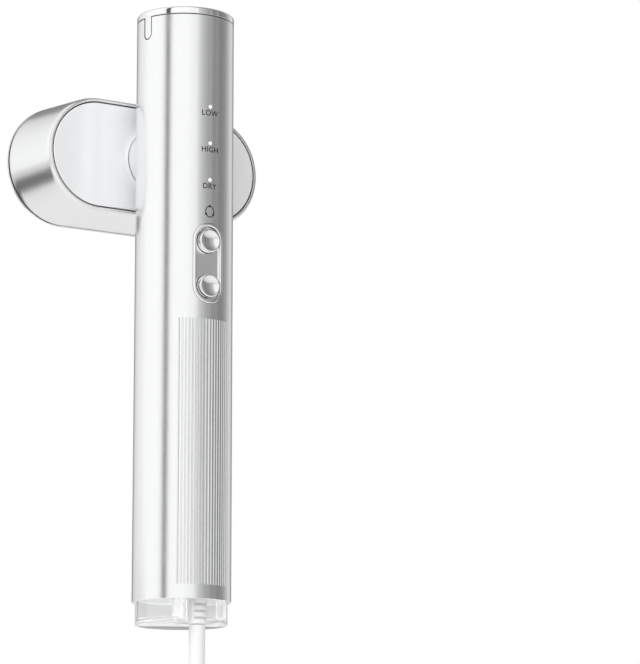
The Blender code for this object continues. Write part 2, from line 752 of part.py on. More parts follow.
def tank_pieces():
    low = BOTTOM - TANK_FOOT
    top = BOTTOM + TANK_TOP
    tank = plate("water_tank", [tank_outline(0.0)], low, top)
    combine(tank, plate("tank_hollow", [tank_outline(TANK_WALL)], low + TANK_FLOOR, top + 1.0 * MM))
    dress(tank, "clear_plastic")
    seal_low = top + GAP
    lid_low = seal_low + SEAL_THICK + GAP
    lid_top = lid_low + LID_THICK
    seal = plate("tank_seal", [tank_outline(0.0), tank_outline(TANK_WALL)], seal_low, seal_low + SEAL_THICK)
    dress(seal, "clear_silicone")
    valve_outer = NIPPLE_RADIUS + GAP + 1.4 * MM
    holes = [
        circle(valve_outer + GAP, (0.0, PUMP_Y), 24),
        circle(FILLER_RADIUS + GAP, (FILLER_X, FILLER_Y), 20),
    ]
    lid = plate("tank_lid", [tank_outline(0.0), *holes], lid_low, lid_top)
    dress(lid, "white_plastic")
    plug = turned(
        "filler_plug",
        [
            (0.0, 1.2 * MM),
            (FILLER_RADIUS + 1.0 * MM, 1.2 * MM),
            (FILLER_RADIUS + 1.0 * MM, 0.0),
            (FILLER_RADIUS, 0.0),
            (FILLER_RADIUS - 0.6 * MM, -4.0 * MM),
            (0.0, -4.0 * MM),
        ],
        at(FILLER_X, FILLER_Y, lid_top + GAP),
        20,
    )
    dress(plug, "clear_silicone")
    bore = NIPPLE_RADIUS + GAP
    valve = turned(
        "tank_valve",
        [
            (valve_outer + 1.0 * MM, 0.8 * MM),
            (valve_outer + 1.0 * MM, 0.0),
            (valve_outer, 0.0),
            (valve_outer, -NIPPLE_LENGTH - 3.0 * MM),
            (bore, -NIPPLE_LENGTH - 3.0 * MM),
            (bore, 0.8 * MM),
        ],
        at(0.0, PUMP_Y, lid_top + GAP),
        24,
        ring=True,
    )
    dress(valve, "white_plastic")
    return [tank, seal, lid, plug, valve]


def tank_dock():
    """Fixed plate above the tank: suction nipple below, hose barb above, cord strip in the channel."""
    radius = BORE_RADIUS - GAP
    dock = rod("tank_dock", radius, DOCK_Z, DOCK_Z + DOCK_THICK, steps=48)
    spigot = rod("dock_nipple", NIPPLE_RADIUS, DOCK_Z - NIPPLE_LENGTH, DOCK_Z + 1.0 * MM, at(0.0, PUMP_Y, 0.0), 20)
    combine(dock, spigot, "UNION")
    barb = rod("dock_barb", BARB_RADIUS, DOCK_Z + 1.0 * MM, DOCK_Z + DOCK_THICK + 3.5 * MM, at(0.0, PUMP_Y, 0.0), 20)
    combine(dock, barb, "UNION")
    strip_radius = radius - 0.1 * MM
    strip = sleeve("cord_strip", strip_radius, radius - 1.6 * MM, BOTTOM + 10.0 * MM, DOCK_Z + 1.0 * MM, steps=48)
    half = CHANNEL_HALF - 1.4 * MM
    keep = box("strip_keep", (-half, -TUBE_RADIUS, BOTTOM), (half, -CHANNEL_BACK - 2.0 * MM, TOP))
    combine(strip, keep, "INTERSECT")
    combine(dock, strip, "UNION")
    span = DOCK_THICK + NIPPLE_LENGTH + 5.0 * MM
    combine(dock, rod("dock_bore", BARB_BORE, DOCK_Z - span, DOCK_Z + span, at(0.0, PUMP_Y, 0.0), 12))
    combine(
        dock,
        rod("cord_hole", CORE_RADIUS + GAP * 2.0, DOCK_Z - 5.0 * MM, DOCK_Z + 10.0 * MM, at(0.0, CORD_Y, 0.0), 20),
    )
    return dress(dock, "white_plastic")


# ---------------------------------------------------------------- pump and water path


def pump_levels():
    """Heights of the pump body's lower and upper shoulders."""
    low = DOCK_Z + DOCK_THICK + 8.0 * MM
    return low, low + PUMP_COIL_LENGTH + 8.0 * MM


def pump():
    low, high = pump_levels()
    place = at(0.0, PUMP_Y, 0.0)
    body = turned(
        "pump_body",
        [
            (BARB_RADIUS, high + 6.0 * MM),
            (BARB_RADIUS, high),
            (PUMP_BODY_RADIUS, high),
            (PUMP_BODY_RADIUS, low),
            (BARB_RADIUS, low),
            (BARB_RADIUS, low - 4.0 * MM),
            (BARB_BORE, low - 4.0 * MM),
            (BARB_BORE, low + 1.5 * MM),
            (PUMP_BORE, low + 1.5 * MM),
            (PUMP_BORE, high - 1.5 * MM),
            (BARB_BORE, high - 1.5 * MM),
            (BARB_BORE, high + 6.0 * MM),
        ],
        place,
        28,
        ring=True,
    )
    dress(body, "white_plastic")
    coil_low = (low + high - PUMP_COIL_LENGTH) / 2.0
    coil_high = coil_low + PUMP_COIL_LENGTH
    inner = PUMP_BODY_RADIUS + GAP
    coil = sleeve("pump_coil", PUMP_COIL_RADIUS, inner, coil_low, coil_high, place, 32)
    dress(coil, "copper_winding")
    thick = 1.2 * MM
    half = 8.0 * MM
    back = PUMP_COIL_RADIUS + GAP
    yoke = box("pump_yoke", (-half, -half, 0.0), (half, back + thick, coil_high - coil_low + 2.0 * (thick + GAP)))
    yoke.matrix_world = at(0.0, PUMP_Y, coil_low - thick - GAP) @ yoke.matrix_world
    hollow = box("yoke_hollow", (-half - MM, -half - MM, 0.0), (half + MM, back, coil_high - coil_low + 2.0 * GAP))
    hollow.matrix_world = at(0.0, PUMP_Y, coil_low - GAP) @ hollow.matrix_world
    combine(yoke, hollow)
    combine(yoke, rod("yoke_bore", PUMP_BODY_RADIUS + GAP, low, high, place, 28))
    dress(yoke, "steel")
    piston_low = low + 1.5 * MM + PUMP_STROKE + GAP
    piston_high = piston_low + PISTON_LENGTH
    piston = rod("pump_piston", PUMP_BORE - GAP, 0.0, PISTON_LENGTH, at(0.0, PUMP_Y, piston_low), 24)
    dress(piston, "steel")
    spring_low = piston_high + GAP
    spring_high = high - 1.5 * MM - GAP
    wire = 0.4 * MM
    turns = 5
    points = []
    for i in range(turns * 10 + 1):
        angle = 2.0 * math.pi * i / 10.0
        radius = PUMP_BORE - GAP - wire - 0.5 * MM
        z = spring_low + wire + (spring_high - spring_low - 2.0 * wire) * i / (turns * 10.0)
        points.append((radius * math.cos(angle), PUMP_Y + radius * math.sin(angle), z))
    spring = tube("pump_spring", points, wire, 1)
    dress(spring, "steel")
    return piston


def hoses():
    low, high = pump_levels()
    suction = sleeve(
        "suction_hose",
        BARB_RADIUS + GAP + 1.3 * MM,
        BARB_RADIUS + GAP,
        DOCK_Z + DOCK_THICK + GAP,
        low - GAP,
        at(0.0, PUMP_Y, 0.0),
        24,
    )
    dress(suction, "clear_silicone")
    start = high + 6.0 * MM + GAP
    end_y = inlet_tip() - GAP
    route = [
        (0.0, PUMP_Y, start),
        (0.0, PUMP_Y, start + (HUB_Z - start) * 0.2),
        (0.0, PUMP_Y - 4.0 * MM, start + (HUB_Z - start) * 0.5),
        (0.0, PUMP_Y - 6.0 * MM, HUB_Z - 22.0 * MM),
        (0.0, PUMP_Y - 5.0 * MM, HUB_Z - 9.0 * MM),
        (0.0, PUMP_Y - 0.5 * MM, HUB_Z - 2.2 * MM),
        (0.0, PUMP_Y + 6.0 * MM, HUB_Z),
        (0.0, PUMP_Y + 18.0 * MM, HUB_Z),
        (0.0, end_y, HUB_Z),
    ]
    hose = tube("water_hose", smooth_route(route, 5.0 * MM), HOSE_RADIUS, 1)
    dress(hose, "clear_silicone")


# ---------------------------------------------------------------- swivel


def swivel():
    """Fixed boss, bush, wave washer and friction ring; the shaft and its nut turn with the head."""
    hub = at(0.0, 0.0, HUB_Z, ALONG_Y)
    ring_mid = (BOSS_RADIUS + BUSH_RADIUS + GAP) / 2.0
    ring_half = 1.1 * MM
    groove = RING_DEPTH
    boss = sleeve("swivel_boss", BOSS_RADIUS, BUSH_RADIUS + GAP, TUBE_RADIUS * 0.5, BOSS_FACE, hub, 48)
    combine(boss, rod("boss_saddle", TUBE_RADIUS + GAP, HUB_Z - 2.0 * BOSS_RADIUS, HUB_Z + 2.0 * BOSS_RADIUS, steps=72))
    cut = sleeve(
        "ring_groove",
        ring_mid + ring_half + GAP,
        ring_mid - ring_half - GAP,
        BOSS_FACE - groove,
        BOSS_FACE + 1.0 * MM,
        hub,
        40,
    )
    combine(boss, cut)
    dress(boss, "satin_silver")
    friction = sleeve(
        "friction_ring",
        ring_mid + ring_half,
        ring_mid - ring_half,
        BOSS_FACE - groove + GAP,
        NECK_FACE - GAP,
        hub,
        40,
    )
    dress(friction, "dark_silicone")
    flange = BUSH_RADIUS + 1.5 * MM
    seat = math.sqrt(BORE_RADIUS**2 - flange**2) - GAP
    bush = turned(
        "pivot_bush",
        [
            (BUSH_RADIUS, BOSS_FACE - 0.2 * MM),
            (BUSH_RADIUS, seat),
            (flange, seat),
            (flange, seat - 1.5 * MM),
            (BUSH_BORE, seat - 1.5 * MM),
            (BUSH_BORE, BOSS_FACE - 0.2 * MM),
        ],
        hub,
        40,
        ring=True,
    )
    dress(bush, "white_plastic")
    nut_front = seat - 1.5 * MM - GAP
    nut_back = nut_front - 2.7 * MM
    nut = rod("pivot_nut", flange, nut_back, nut_front, hub, 6)
    combine(nut, rod("nut_bore", SHAFT_RADIUS + GAP, nut_back - MM, nut_front + MM, hub, 32))
    dress(nut, "brass")
    cover_back = HEAD_REAR + COVER_THICK
    flange_rear = cover_back + GAP
    shaft = turned(
        "pivot_shaft",
        [
            (FLANGE_RADIUS, flange_rear + 2.0 * MM),
            (FLANGE_RADIUS, flange_rear),
            (SHAFT_RADIUS, flange_rear),
            (SHAFT_RADIUS, nut_back - 1.0 * MM),
            (SHAFT_BORE, nut_back - 1.0 * MM),
            (SHAFT_BORE, flange_rear + 2.0 * MM),
        ],
        hub,
        40,
        ring=True,
    )
    holes = [
        rod(f"flange_hole_{i}", 1.1 * MM + GAP, flange_rear - 1.0 * MM, flange_rear + 4.0 * MM, place, 12)
        for i, place in enumerate(flange_screw_matrices())
    ]
    combine(shaft, joined("flange_holes", holes))
    dress(shaft, "steel")
    turning = [nut, shaft]
    for i, place in enumerate(flange_screw_matrices()):
        head = place @ Matrix.Translation((0.0, 0.0, flange_rear + 2.0 * MM + GAP))
        bolt = screw(f"pivot_screw_{i + 1}", (0.0, 0.0, 0.0), ALONG_Z, 4.0 * MM, 1.1 * MM, 2.0 * MM)
        bolt.matrix_world = head
        turning.append(bolt)
    return turning


def flange_screw_matrices():
    """Local Z along +Y through each of the three flange screws."""
    radius = (SHAFT_RADIUS + FLANGE_RADIUS) / 2.0
    made = []
    for i in range(3):
        angle = math.radians(90.0 + 120.0 * i)
        made.append(at(radius * math.cos(angle), 0.0, HUB_Z + radius * math.sin(angle), ALONG_Y))
    return made


# ---------------------------------------------------------------- head


def half_sizes(y):
    """The shell's outer half length and half width at a distance y from the handle's axis."""
    share = (y - HEAD_REAR) / (HEAD_FRONT - HEAD_REAR)
    length = REAR_HALF_LENGTH + (FRONT_HALF_LENGTH - REAR_HALF_LENGTH) * share
    width = REAR_HALF_WIDTH + (FRONT_HALF_WIDTH - REAR_HALF_WIDTH) * share
    return length, width


def section(y, inset):
    length, width = half_sizes(y)
    return (y, length - inset, width - inset)


def head_shell():
    """Tapered shell with a rounded rear rim, a seat for the rear cover and an open front."""
    outer = [
        section(HEAD_REAR, 0.7 * MM),
        section(HEAD_REAR + REAR_ROUND * 0.35, 0.2 * MM),
        section(HEAD_REAR + REAR_ROUND, 0.0),
        section(HEAD_FRONT, 0.0),
    ]
    shell = loft("head_shell", outer)
    seat_front = HEAD_REAR + COVER_THICK + GAP
    pocket = [
        (HEAD_REAR - 2.0 * MM, *cover_half_sizes(GAP)),
        (seat_front, *cover_half_sizes(GAP)),
    ]
    combine(shell, loft("cover_seat", pocket))
    inner_rear = HEAD_WALL + 0.6 * MM
    cavity = loft(
        "shell_hollow",
        [section(HEAD_REAR - 1.0 * MM, inner_rear), section(HEAD_FRONT + 1.0 * MM, HEAD_WALL)],
    )
    combine(shell, cavity)
    return dress(shell, "satin_silver")


def cover_half_sizes(margin):
    length, width = half_sizes(HEAD_REAR)
    return length - COVER_INSET - GAP + margin, width - COVER_INSET - GAP + margin


def rear_cover():
    """Cover plate with a short neck that faces the handle's boss."""
    centre = (0.0, HUB_Z)
    length, width = cover_half_sizes(0.0)
    cover = upright_plate("rear_cover", [stadium(length, width)], HEAD_REAR, HEAD_REAR + COVER_THICK, centre)
    neck = rod("cover_neck", BOSS_RADIUS, NECK_FACE, HEAD_REAR + 1.0 * MM, at(0.0, 0.0, HUB_Z, ALONG_Y), 48)
    combine(cover, neck, "UNION")
    combine(cover, rod("cover_bore", SHAFT_RADIUS + GAP, 0.0, FRONT_HALF_LENGTH, at(0.0, 0.0, HUB_Z, ALONG_Y), 40))
    back = HEAD_REAR + COVER_THICK
    holes = [
        rod(f"cover_hole_{i}", 1.1 * MM + GAP, back - 2.0 * MM, back + 1.0 * MM, place, 12)
        for i, place in enumerate(flange_screw_matrices())
    ]
    combine(cover, joined("cover_holes", holes))
    return dress(cover, "satin_silver")


def vent_places():
    """Seven openings on the centre line; the middle one is a slot."""
    return [VENT_PITCH * k for k in range(-3, 4)]


def vent_cutter(name, start, end):
    """Round holes and the middle slot, from Y start to Y end."""
    shapes = []
    for i, x in enumerate(vent_places()):
        if abs(x) < VENT_PITCH / 2.0:
            slot = stadium(SLOT_HALF_LENGTH, VENT_RADIUS, 6)
            shapes.append(upright_plate(f"{name}_slot", [slot], start, end, (0.0, HUB_Z)))
        else:
            shapes.append(rod(f"{name}_{i}", VENT_RADIUS, start, end, at(x, 0.0, HUB_Z, ALONG_Y), 14))
    return joined(name, shapes)


def petal_outlines():
    """Sixteen tilted ellipses in crosses round every second place on the centre line."""
    outlines = []
    for k in (-4, -2, 0, 2, 4):
        for side in (-1.0, 1.0):
            for way in (-1.0, 1.0):
                if (k == 4 and way > 0.0) or (k == -4 and way < 0.0):
                    continue
                centre = (k * VENT_PITCH + way * PETAL_ALONG, side * PETAL_ACROSS)
                outlines.append(ellipse(PETAL_LENGTH, PETAL_WIDTH, centre, way * side * PETAL_TILT))
    return outlines


def soleplate_half_sizes():
    inset = TRIM_WIDTH + GAP
    return FRONT_HALF_LENGTH - inset, FRONT_HALF_WIDTH - inset


def soleplate():
    centre = (0.0, HUB_Z)
    outline = stadium(*soleplate_half_sizes(), 20)
    plate_obj = upright_plate("soleplate", [outline], PLATE_REAR, PLATE_FRONT, centre)
    combine(plate_obj, vent_cutter("plate_vents", PLATE_REAR - MM, PLATE_FRONT + MM))
    petals = upright_plate("petals", petal_outlines(), PLATE_FRONT - PETAL_DEPTH, PLATE_FRONT + MM, centre)
    combine(plate_obj, petals)
    ends = [circle(VENT_RADIUS, (side * 4.0 * VENT_PITCH, 0.0), 14) for side in (-1.0, 1.0)]
    dimples = upright_plate("dimples", ends, PLATE_FRONT - DIMPLE_DEPTH, PLATE_FRONT + MM, centre)
    combine(plate_obj, dimples)
    return dress(plate_obj, "polished_steel")


def front_rings():
    centre = (0.0, HUB_Z)
    gasket_outer = (FRONT_HALF_LENGTH - GASKET_INSET, FRONT_HALF_WIDTH - GASKET_INSET)
    gasket_inner = (BLOCK_HALF_LENGTH + GAP, BLOCK_HALF_WIDTH + GAP)
    gasket = upright_plate(
        "head_gasket",
        [stadium(*gasket_outer, 18), stadium(*gasket_inner, 18)],
        GASKET_REAR,
        GASKET_REAR + GASKET_THICK,
        centre,
    )
    dress(gasket, "dark_silicone")
    trim_inner = (FRONT_HALF_LENGTH - TRIM_WIDTH, FRONT_HALF_WIDTH - TRIM_WIDTH)
    trim = upright_plate(
        "trim_ring",
        [stadium(FRONT_HALF_LENGTH, FRONT_HALF_WIDTH, 20), stadium(*trim_inner, 20)],
        PLATE_REAR,
        PLATE_REAR + TRIM_DEPTH,
        centre,
    )
    dress(trim, "chrome")
    return [gasket, trim]


def element_route(reach):
    """U-shaped route of the heating element in the block, open towards +X."""
    y = BLOCK_REAR + ELEMENT_DEPTH
    bend_x = -(BLOCK_HALF_LENGTH - BLOCK_HALF_WIDTH) + 2.0 * MM
    points = [(reach, y, ELEMENT_LEG), (0.0, y, ELEMENT_LEG)]
    for i in range(13):
        angle = math.pi * (0.5 + i / 12.0)
        points.append((bend_x + ELEMENT_LEG * math.cos(angle), y, ELEMENT_LEG * math.sin(angle)))
    points += [(0.0, y, -ELEMENT_LEG), (reach, y, -ELEMENT_LEG)]
    return points


def lifted(points):
    return [(x, y, z + HUB_Z) for x, y, z in points]


def boiler_screw_places():
    z = BLOCK_HALF_WIDTH - BOILER_SCREW_INSET
    return [(x, HUB_Z + side) for x in (-BOILER_SCREW_X, BOILER_SCREW_X) for side in (-z, z)]


def boiler():
    """Cast block with its chamber, seal, cover, element, screws, inlet and safety devices."""
    centre = (0.0, HUB_Z)
    outer = stadium(BLOCK_HALF_LENGTH, BLOCK_HALF_WIDTH)
    chamber = stadium(CHAMBER_HALF_LENGTH, CHAMBER_HALF_WIDTH, 10)
    block = upright_plate("boiler_block", [outer], BLOCK_REAR, BLOCK_FRONT, centre)
    combine(block, upright_plate("chamber", [chamber], BLOCK_REAR - MM, BLOCK_REAR + CHAMBER_DEPTH, centre))
    combine(block, vent_cutter("block_vents", BLOCK_REAR + MM, BLOCK_FRONT + MM))
    end_x = BLOCK_HALF_LENGTH - BLOCK_HALF_WIDTH + math.sqrt(BLOCK_HALF_WIDTH**2 - ELEMENT_LEG**2)
    combine(block, tube("element_channel", lifted(element_route(end_x + 5.0 * MM)), ELEMENT_RADIUS + GAP, 2))
    screw_holes = [
        rod(f"block_hole_{i}", 1.3 * MM + GAP, BLOCK_REAR - MM, BLOCK_REAR + 6.5 * MM, at(x, 0.0, z, ALONG_Y), 12)
        for i, (x, z) in enumerate(boiler_screw_places())
    ]
    combine(block, joined("block_holes", screw_holes))
    dress(block, "cast_aluminium")
    element = tube("heating_element", lifted(element_route(end_x + 1.7 * MM)), ELEMENT_RADIUS, 2)
    dress(element, "steel")
    screw_circles = [circle(1.3 * MM + GAP, (x, z - HUB_Z), 12) for x, z in boiler_screw_places()]
    inner = stadium(CHAMBER_HALF_LENGTH + 0.5 * MM, CHAMBER_HALF_WIDTH + 0.5 * MM, 10)
    seal = upright_plate("boiler_seal", [outer, inner, *screw_circles], SEAL_REAR, SEAL_REAR + BOILER_SEAL, centre)
    dress(seal, "dark_silicone")
    inlet_hole = circle(BARB_RADIUS + 2.0 * GAP, (0.0, 0.0), 20)
    cover = upright_plate(
        "boiler_cover", [outer, inlet_hole, *screw_circles], BOILER_COVER_REAR, BOILER_COVER_FRONT, centre
    )
    dress(cover, "cast_aluminium")
    made = [block, element, seal, cover]
    shank = GAP + BOILER_COVER + GAP + BOILER_SEAL + GAP + 5.5 * MM
    for i, (x, z) in enumerate(boiler_screw_places()):
        place = (x, BOILER_COVER_REAR - GAP, z)
        made.append(screw(f"boiler_screw_{i + 1}", place, UPRIGHT, shank, 1.3 * MM))
    rear = BOILER_COVER_REAR - GAP
    hub = at(0.0, 0.0, HUB_Z, ALONG_Y)
    inlet = turned(
        "water_inlet",
        [
            (BARB_RADIUS + GAP, BOILER_COVER_FRONT + 1.0 * MM),
            (BARB_RADIUS + GAP, rear),
            (BARB_RADIUS + 2.0 * MM, rear),
            (BARB_RADIUS + 2.0 * MM, rear - 1.0 * MM),
            (BARB_RADIUS, rear - 1.0 * MM),
            (BARB_RADIUS, inlet_tip()),
            (BARB_BORE, inlet_tip()),
            (BARB_BORE, BOILER_COVER_FRONT + 1.0 * MM),
        ],
        hub,
        20,
        ring=True,
    )
    dress(inlet, "brass")
    thermostat = turned(
        "thermostat",
        [
            (0.0, rear),
            (THERMOSTAT_RADIUS, rear),
            (THERMOSTAT_RADIUS, rear - THERMOSTAT_THICK * 0.5),
            (THERMOSTAT_RADIUS * 0.7, rear - THERMOSTAT_THICK * 0.5),
            (THERMOSTAT_RADIUS * 0.7, rear - THERMOSTAT_THICK),
            (0.0, rear - THERMOSTAT_THICK),
        ],
        at(-BOILER_SCREW_X, 0.0, HUB_Z, ALONG_Y),
        28,
    )
    dress(thermostat, "steel")
    return [*made, inlet, thermostat]


def inlet_tip():
    return BOILER_COVER_REAR - GAP - 4.5 * MM


# ---------------------------------------------------------------- cord


def strain_relief():
    """Tapered sleeve moulded on the cord, captured under the clamp by its flange."""
    profile = [
        (0.0, RELIEF_TOP),
        (5.2 * MM, RELIEF_TOP),
        (5.2 * MM, RELIEF_TOP - 2.5 * MM),
        (4.35 * MM, RELIEF_TOP - 2.5 * MM),
        (4.0 * MM, -RELIEF_FOOT),
        (0.0, -RELIEF_FOOT),
    ]
    return dress(turned("strain_relief", profile, at(0.0, CORD_Y, BOTTOM), 24), "cord_white")


def cord_clamp():
    low = BOTTOM + RELIEF_TOP + 1.0 * MM
    back = -CHANNEL_BACK - 1.8 * MM
    half = CHANNEL_HALF - 1.1 * MM
    front = -(BORE_RADIUS - GAP - 1.6 * MM - GAP) * math.cos(math.asin(half / BORE_RADIUS))
    clamp = box("cord_clamp", (-half, front + 0.5 * MM, low), (half, back, low + 8.0 * MM))
    combine(clamp, rod("clamp_bore", CORE_RADIUS + GAP, low - MM, low + 9.0 * MM, at(0.0, CORD_Y, 0.0), 20))
    return dress(clamp, "white_plastic")


def mains_core():
    """The stripped cord inside the handle, from the strain relief to the control board."""
    top = BOARD_BOTTOM - 3.0 * MM
    low = BOTTOM + RELIEF_TOP + GAP
    step = (top - low) / 8.0
    points = [(0.0, CORD_Y, low + step * i) for i in range(9)]
    return dress(tube("mains_core", points, CORE_RADIUS, 1), "cord_white")


def lead_route():
    """Hand-chosen points of the free cord from the strain relief to the coil's side."""
    top = BOTTOM - RELIEF_FOOT - GAP
    return [
        (0.0000, CORD_Y, top),
        (0.0000, CORD_Y, BOTTOM - 0.040),
        (0.0003, -0.0135, BOTTOM - 0.080),
        (0.0015, -0.0140, BOTTOM - 0.115),
        (0.0060, -0.0152, BOTTOM - 0.144),
        (0.0150, -0.0168, BOTTOM - 0.163),
        (0.0215, -0.0176, BOTTOM - 0.170),
    ]


def on_coil(angle, radius, z):
    turn = math.radians(angle)
    return (COIL_X + radius * math.cos(turn), COIL_Y + radius * math.sin(turn), z)


def cord():
    lead = tube("mains_lead", smooth_route(lead_route(), 2.2 * CORD_RADIUS * 2.0), CORD_RADIUS, 2)
    dress(lead, "cord_white")
    ring = sleeve(
        "lead_coil",
        COIL_RADIUS + COIL_HALF_WIDTH,
        COIL_RADIUS - COIL_HALF_WIDTH,
        COIL_FOOT,
        COIL_TOP,
        at(COIL_X, COIL_Y, 0.0),
        40,
    )
    dress(ring, "cord_white")
    room = 0.8 * MM
    half = COIL_HALF_WIDTH + room
    low, high = FLOOR_Z + TIE_THICK, COIL_TOP + room
    turn = Matrix.Translation((COIL_X, COIL_Y, 0.0)) @ Matrix.Rotation(math.radians(180.0), 4, "Z")
    outer = [
        (COIL_RADIUS - half - TIE_THICK, FLOOR_Z),
        (COIL_RADIUS + half + TIE_THICK, FLOOR_Z),
        (COIL_RADIUS + half + TIE_THICK, high + TIE_THICK),
        (COIL_RADIUS - half - TIE_THICK, high + TIE_THICK),
    ]
    inner = [
        (COIL_RADIUS - half, low),
        (COIL_RADIUS + half, low),
        (COIL_RADIUS + half, high),
        (COIL_RADIUS - half, high),
    ]
    tie = plate("cord_tie", [outer, inner], -TIE_WIDTH / 2.0, TIE_WIDTH / 2.0, turn @ UPRIGHT)
    dress(tie, "dark_silicone")
    plug_pieces()


def plug_pieces():
    """Plug lying on the coil: tapered tail, body and two flat blades, along its own local Y."""
    start = Vector(on_coil(PLUG_ANGLE, COIL_RADIUS - CORD_RADIUS, COIL_TOP + GAP + PLUG_HEIGHT / 2.0))
    place = Matrix.Translation(start) @ Matrix.Rotation(PLUG_HEADING, 4, "Z")
    body = box(
        "plug_body",
        (-PLUG_WIDTH / 2.0, PLUG_TAIL, -PLUG_HEIGHT / 2.0),
        (PLUG_WIDTH / 2.0, PLUG_TAIL + PLUG_LENGTH, PLUG_HEIGHT / 2.0),
    )
    body.matrix_world = place @ body.matrix_world
    tail_drop = PLUG_HEIGHT / 2.0 - CORD_RADIUS
    tail = turned(
        "plug_tail",
        [
            (0.0, PLUG_TAIL + 2.0 * MM),
            (PLUG_HEIGHT * 0.36, PLUG_TAIL + 2.0 * MM),
            (CORD_RADIUS * 0.98, 2.0 * MM),
            (0.0, 2.0 * MM),
        ],
        place @ Matrix.Translation((0.0, 0.0, -tail_drop + 1.6 * MM)) @ ALONG_Y,
        20,
    )
    combine(body, tail, "UNION")
    dress(body, "cord_white")
    for i, x in enumerate((-6.35 * MM, 6.35 * MM)):
        low = PLUG_TAIL + PLUG_LENGTH + GAP
        blade = box(f"plug_blade_{i + 1}", (x - 0.8 * MM, low, -3.2 * MM), (x + 0.8 * MM, low + BLADE_LENGTH, 3.2 * MM))
        blade.matrix_world = place @ blade.matrix_world
        dress(blade, "brass")


# ---------------------------------------------------------------- assembly


def build():
    handle_tube()
    top_cap()
    inner_frame()
    control_board()
    board_screws()
    leds()
    light_guide()
    button_bezel()
    for button, z in zip(buttons(), button_heights()):
        hold(empty(f"{button.name}_slide", (0.0, 0.0, z)), button)
    tact_switches()
    tank_dock()
    hold(empty("tank_slide", (0.0, 0.0, BOTTOM)), *tank_pieces())
    hold(empty("piston_slide", (0.0, PUMP_Y, DOCK_Z)), pump())
    hoses()
    pivot = empty("head_pivot", (0.0, 0.0, HUB_Z))
    hold(pivot, *swivel())
    hold(pivot, head_shell(), rear_cover(), soleplate(), *front_rings(), *boiler())
    strain_relief()
    cord_clamp()
    mains_core()
    cord()


clear_scene()
PARTS = make_collection("handheld_steamer")
CUTTERS = make_collection("cutters")
build()
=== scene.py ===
"""Looks of a handheld garment steamer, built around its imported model.

Every piece is made in metres in the model's own frame: +Z runs up the handle,
the buttons face -Y and the soleplate faces +Y. Tables of pairs are in millimetres.
"""

from __future__ import annotations

import json
import logging
import math
from collections.abc import Callable, Iterable, Sequence
from dataclasses import dataclass, field
from enum import Enum

import bmesh
import bpy
from mathutils import Matrix, Vector


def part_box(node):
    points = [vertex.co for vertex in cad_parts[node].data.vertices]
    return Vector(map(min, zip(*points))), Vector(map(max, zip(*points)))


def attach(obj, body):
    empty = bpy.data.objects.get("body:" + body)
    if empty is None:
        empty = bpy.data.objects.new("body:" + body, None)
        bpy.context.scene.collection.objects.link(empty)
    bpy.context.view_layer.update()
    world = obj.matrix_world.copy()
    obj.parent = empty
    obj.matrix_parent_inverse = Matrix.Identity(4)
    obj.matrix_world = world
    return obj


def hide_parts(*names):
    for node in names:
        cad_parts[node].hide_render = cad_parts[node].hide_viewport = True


MM = 0.001
LOG = logging.getLogger("steamer")

Object = bpy.types.Object
Tree = bpy.types.NodeTree
Node = bpy.types.Node
Socket = bpy.types.NodeSocket
Point = tuple[float, float, float]
Ring = list[Point]
Pairs = Sequence[tuple[float, float]]

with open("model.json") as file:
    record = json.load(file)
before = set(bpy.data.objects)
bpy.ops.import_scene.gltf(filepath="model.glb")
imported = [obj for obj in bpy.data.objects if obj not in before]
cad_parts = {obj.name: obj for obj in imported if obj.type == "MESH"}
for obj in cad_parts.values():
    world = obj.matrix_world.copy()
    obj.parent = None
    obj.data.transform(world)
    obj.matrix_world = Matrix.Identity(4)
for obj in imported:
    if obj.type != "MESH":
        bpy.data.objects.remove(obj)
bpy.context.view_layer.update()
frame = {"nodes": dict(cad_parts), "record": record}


class Body(Enum):
    """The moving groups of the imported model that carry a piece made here."""

    HANDLE = "handle"
    HEAD = "head"
    TANK = "tank"
    POWER = "power_button_body"
    MODE = "mode_button_body"


class Axis(Enum):
    """The direction about which a profile is turned: Z for UP, Y for OUT."""

    UP = "up"
    OUT = "out"


# ---- places


def middle(node: str) -> float:
    """Height of the middle of a model node."""
    low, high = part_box(node)
    return (low[2] + high[2]) / 2.0


def mm(pairs: Pairs, first: float = 0.0, second: float = 0.0) -> list[tuple[float, float]]:
    """Turn a table of pairs in millimetres into metres, counted from two starts."""
    return [(first + a * MM, second + b * MM) for a, b in pairs]


@dataclass(frozen=True)
class Places:
    """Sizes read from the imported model, which every class shares.

    Attributes:
        tube_radius: Outer radius of the handle.
        bore_radius: Inner radius of the handle's wall.
        bottom: Height of the handle tube's lower edge.
        top: Height of the handle tube's upper edge.
        cap_top: Height of the cap's top face.
        hub: Height of the swivel's axis.
        hub_bore: Radius of the bore for the swivel's bush.
    """

    tube_radius: float
    bore_radius: float
    bottom: float
    top: float
    cap_top: float
    hub: float
    hub_bore: float

    @classmethod
    def read(cls) -> Places:
        """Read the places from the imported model."""
        low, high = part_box("handle_tube")
        return cls(
            tube_radius=high[0],
            bore_radius=high[0] - 1.2 * MM,
            bottom=low[2],
            top=high[2],
            cap_top=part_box("top_cap")[1][2],
            hub=middle("soleplate"),
            hub_bore=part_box("pivot_bush")[1][0] - 1.2 * MM,
        )


PLACES = Places.read()
HUB = (0.0, 0.0, PLACES.hub)


# ---- nodes


def feed(node: Node, inputs: dict[str | int, object]) -> None:
    """Set a node's inputs by name or number: a socket is linked, anything else is its value."""
    for key, value in inputs.items():
        if isinstance(value, Socket):
            node.id_data.links.new(value, node.inputs[key])
        else:
            node.inputs[key].default_value = value


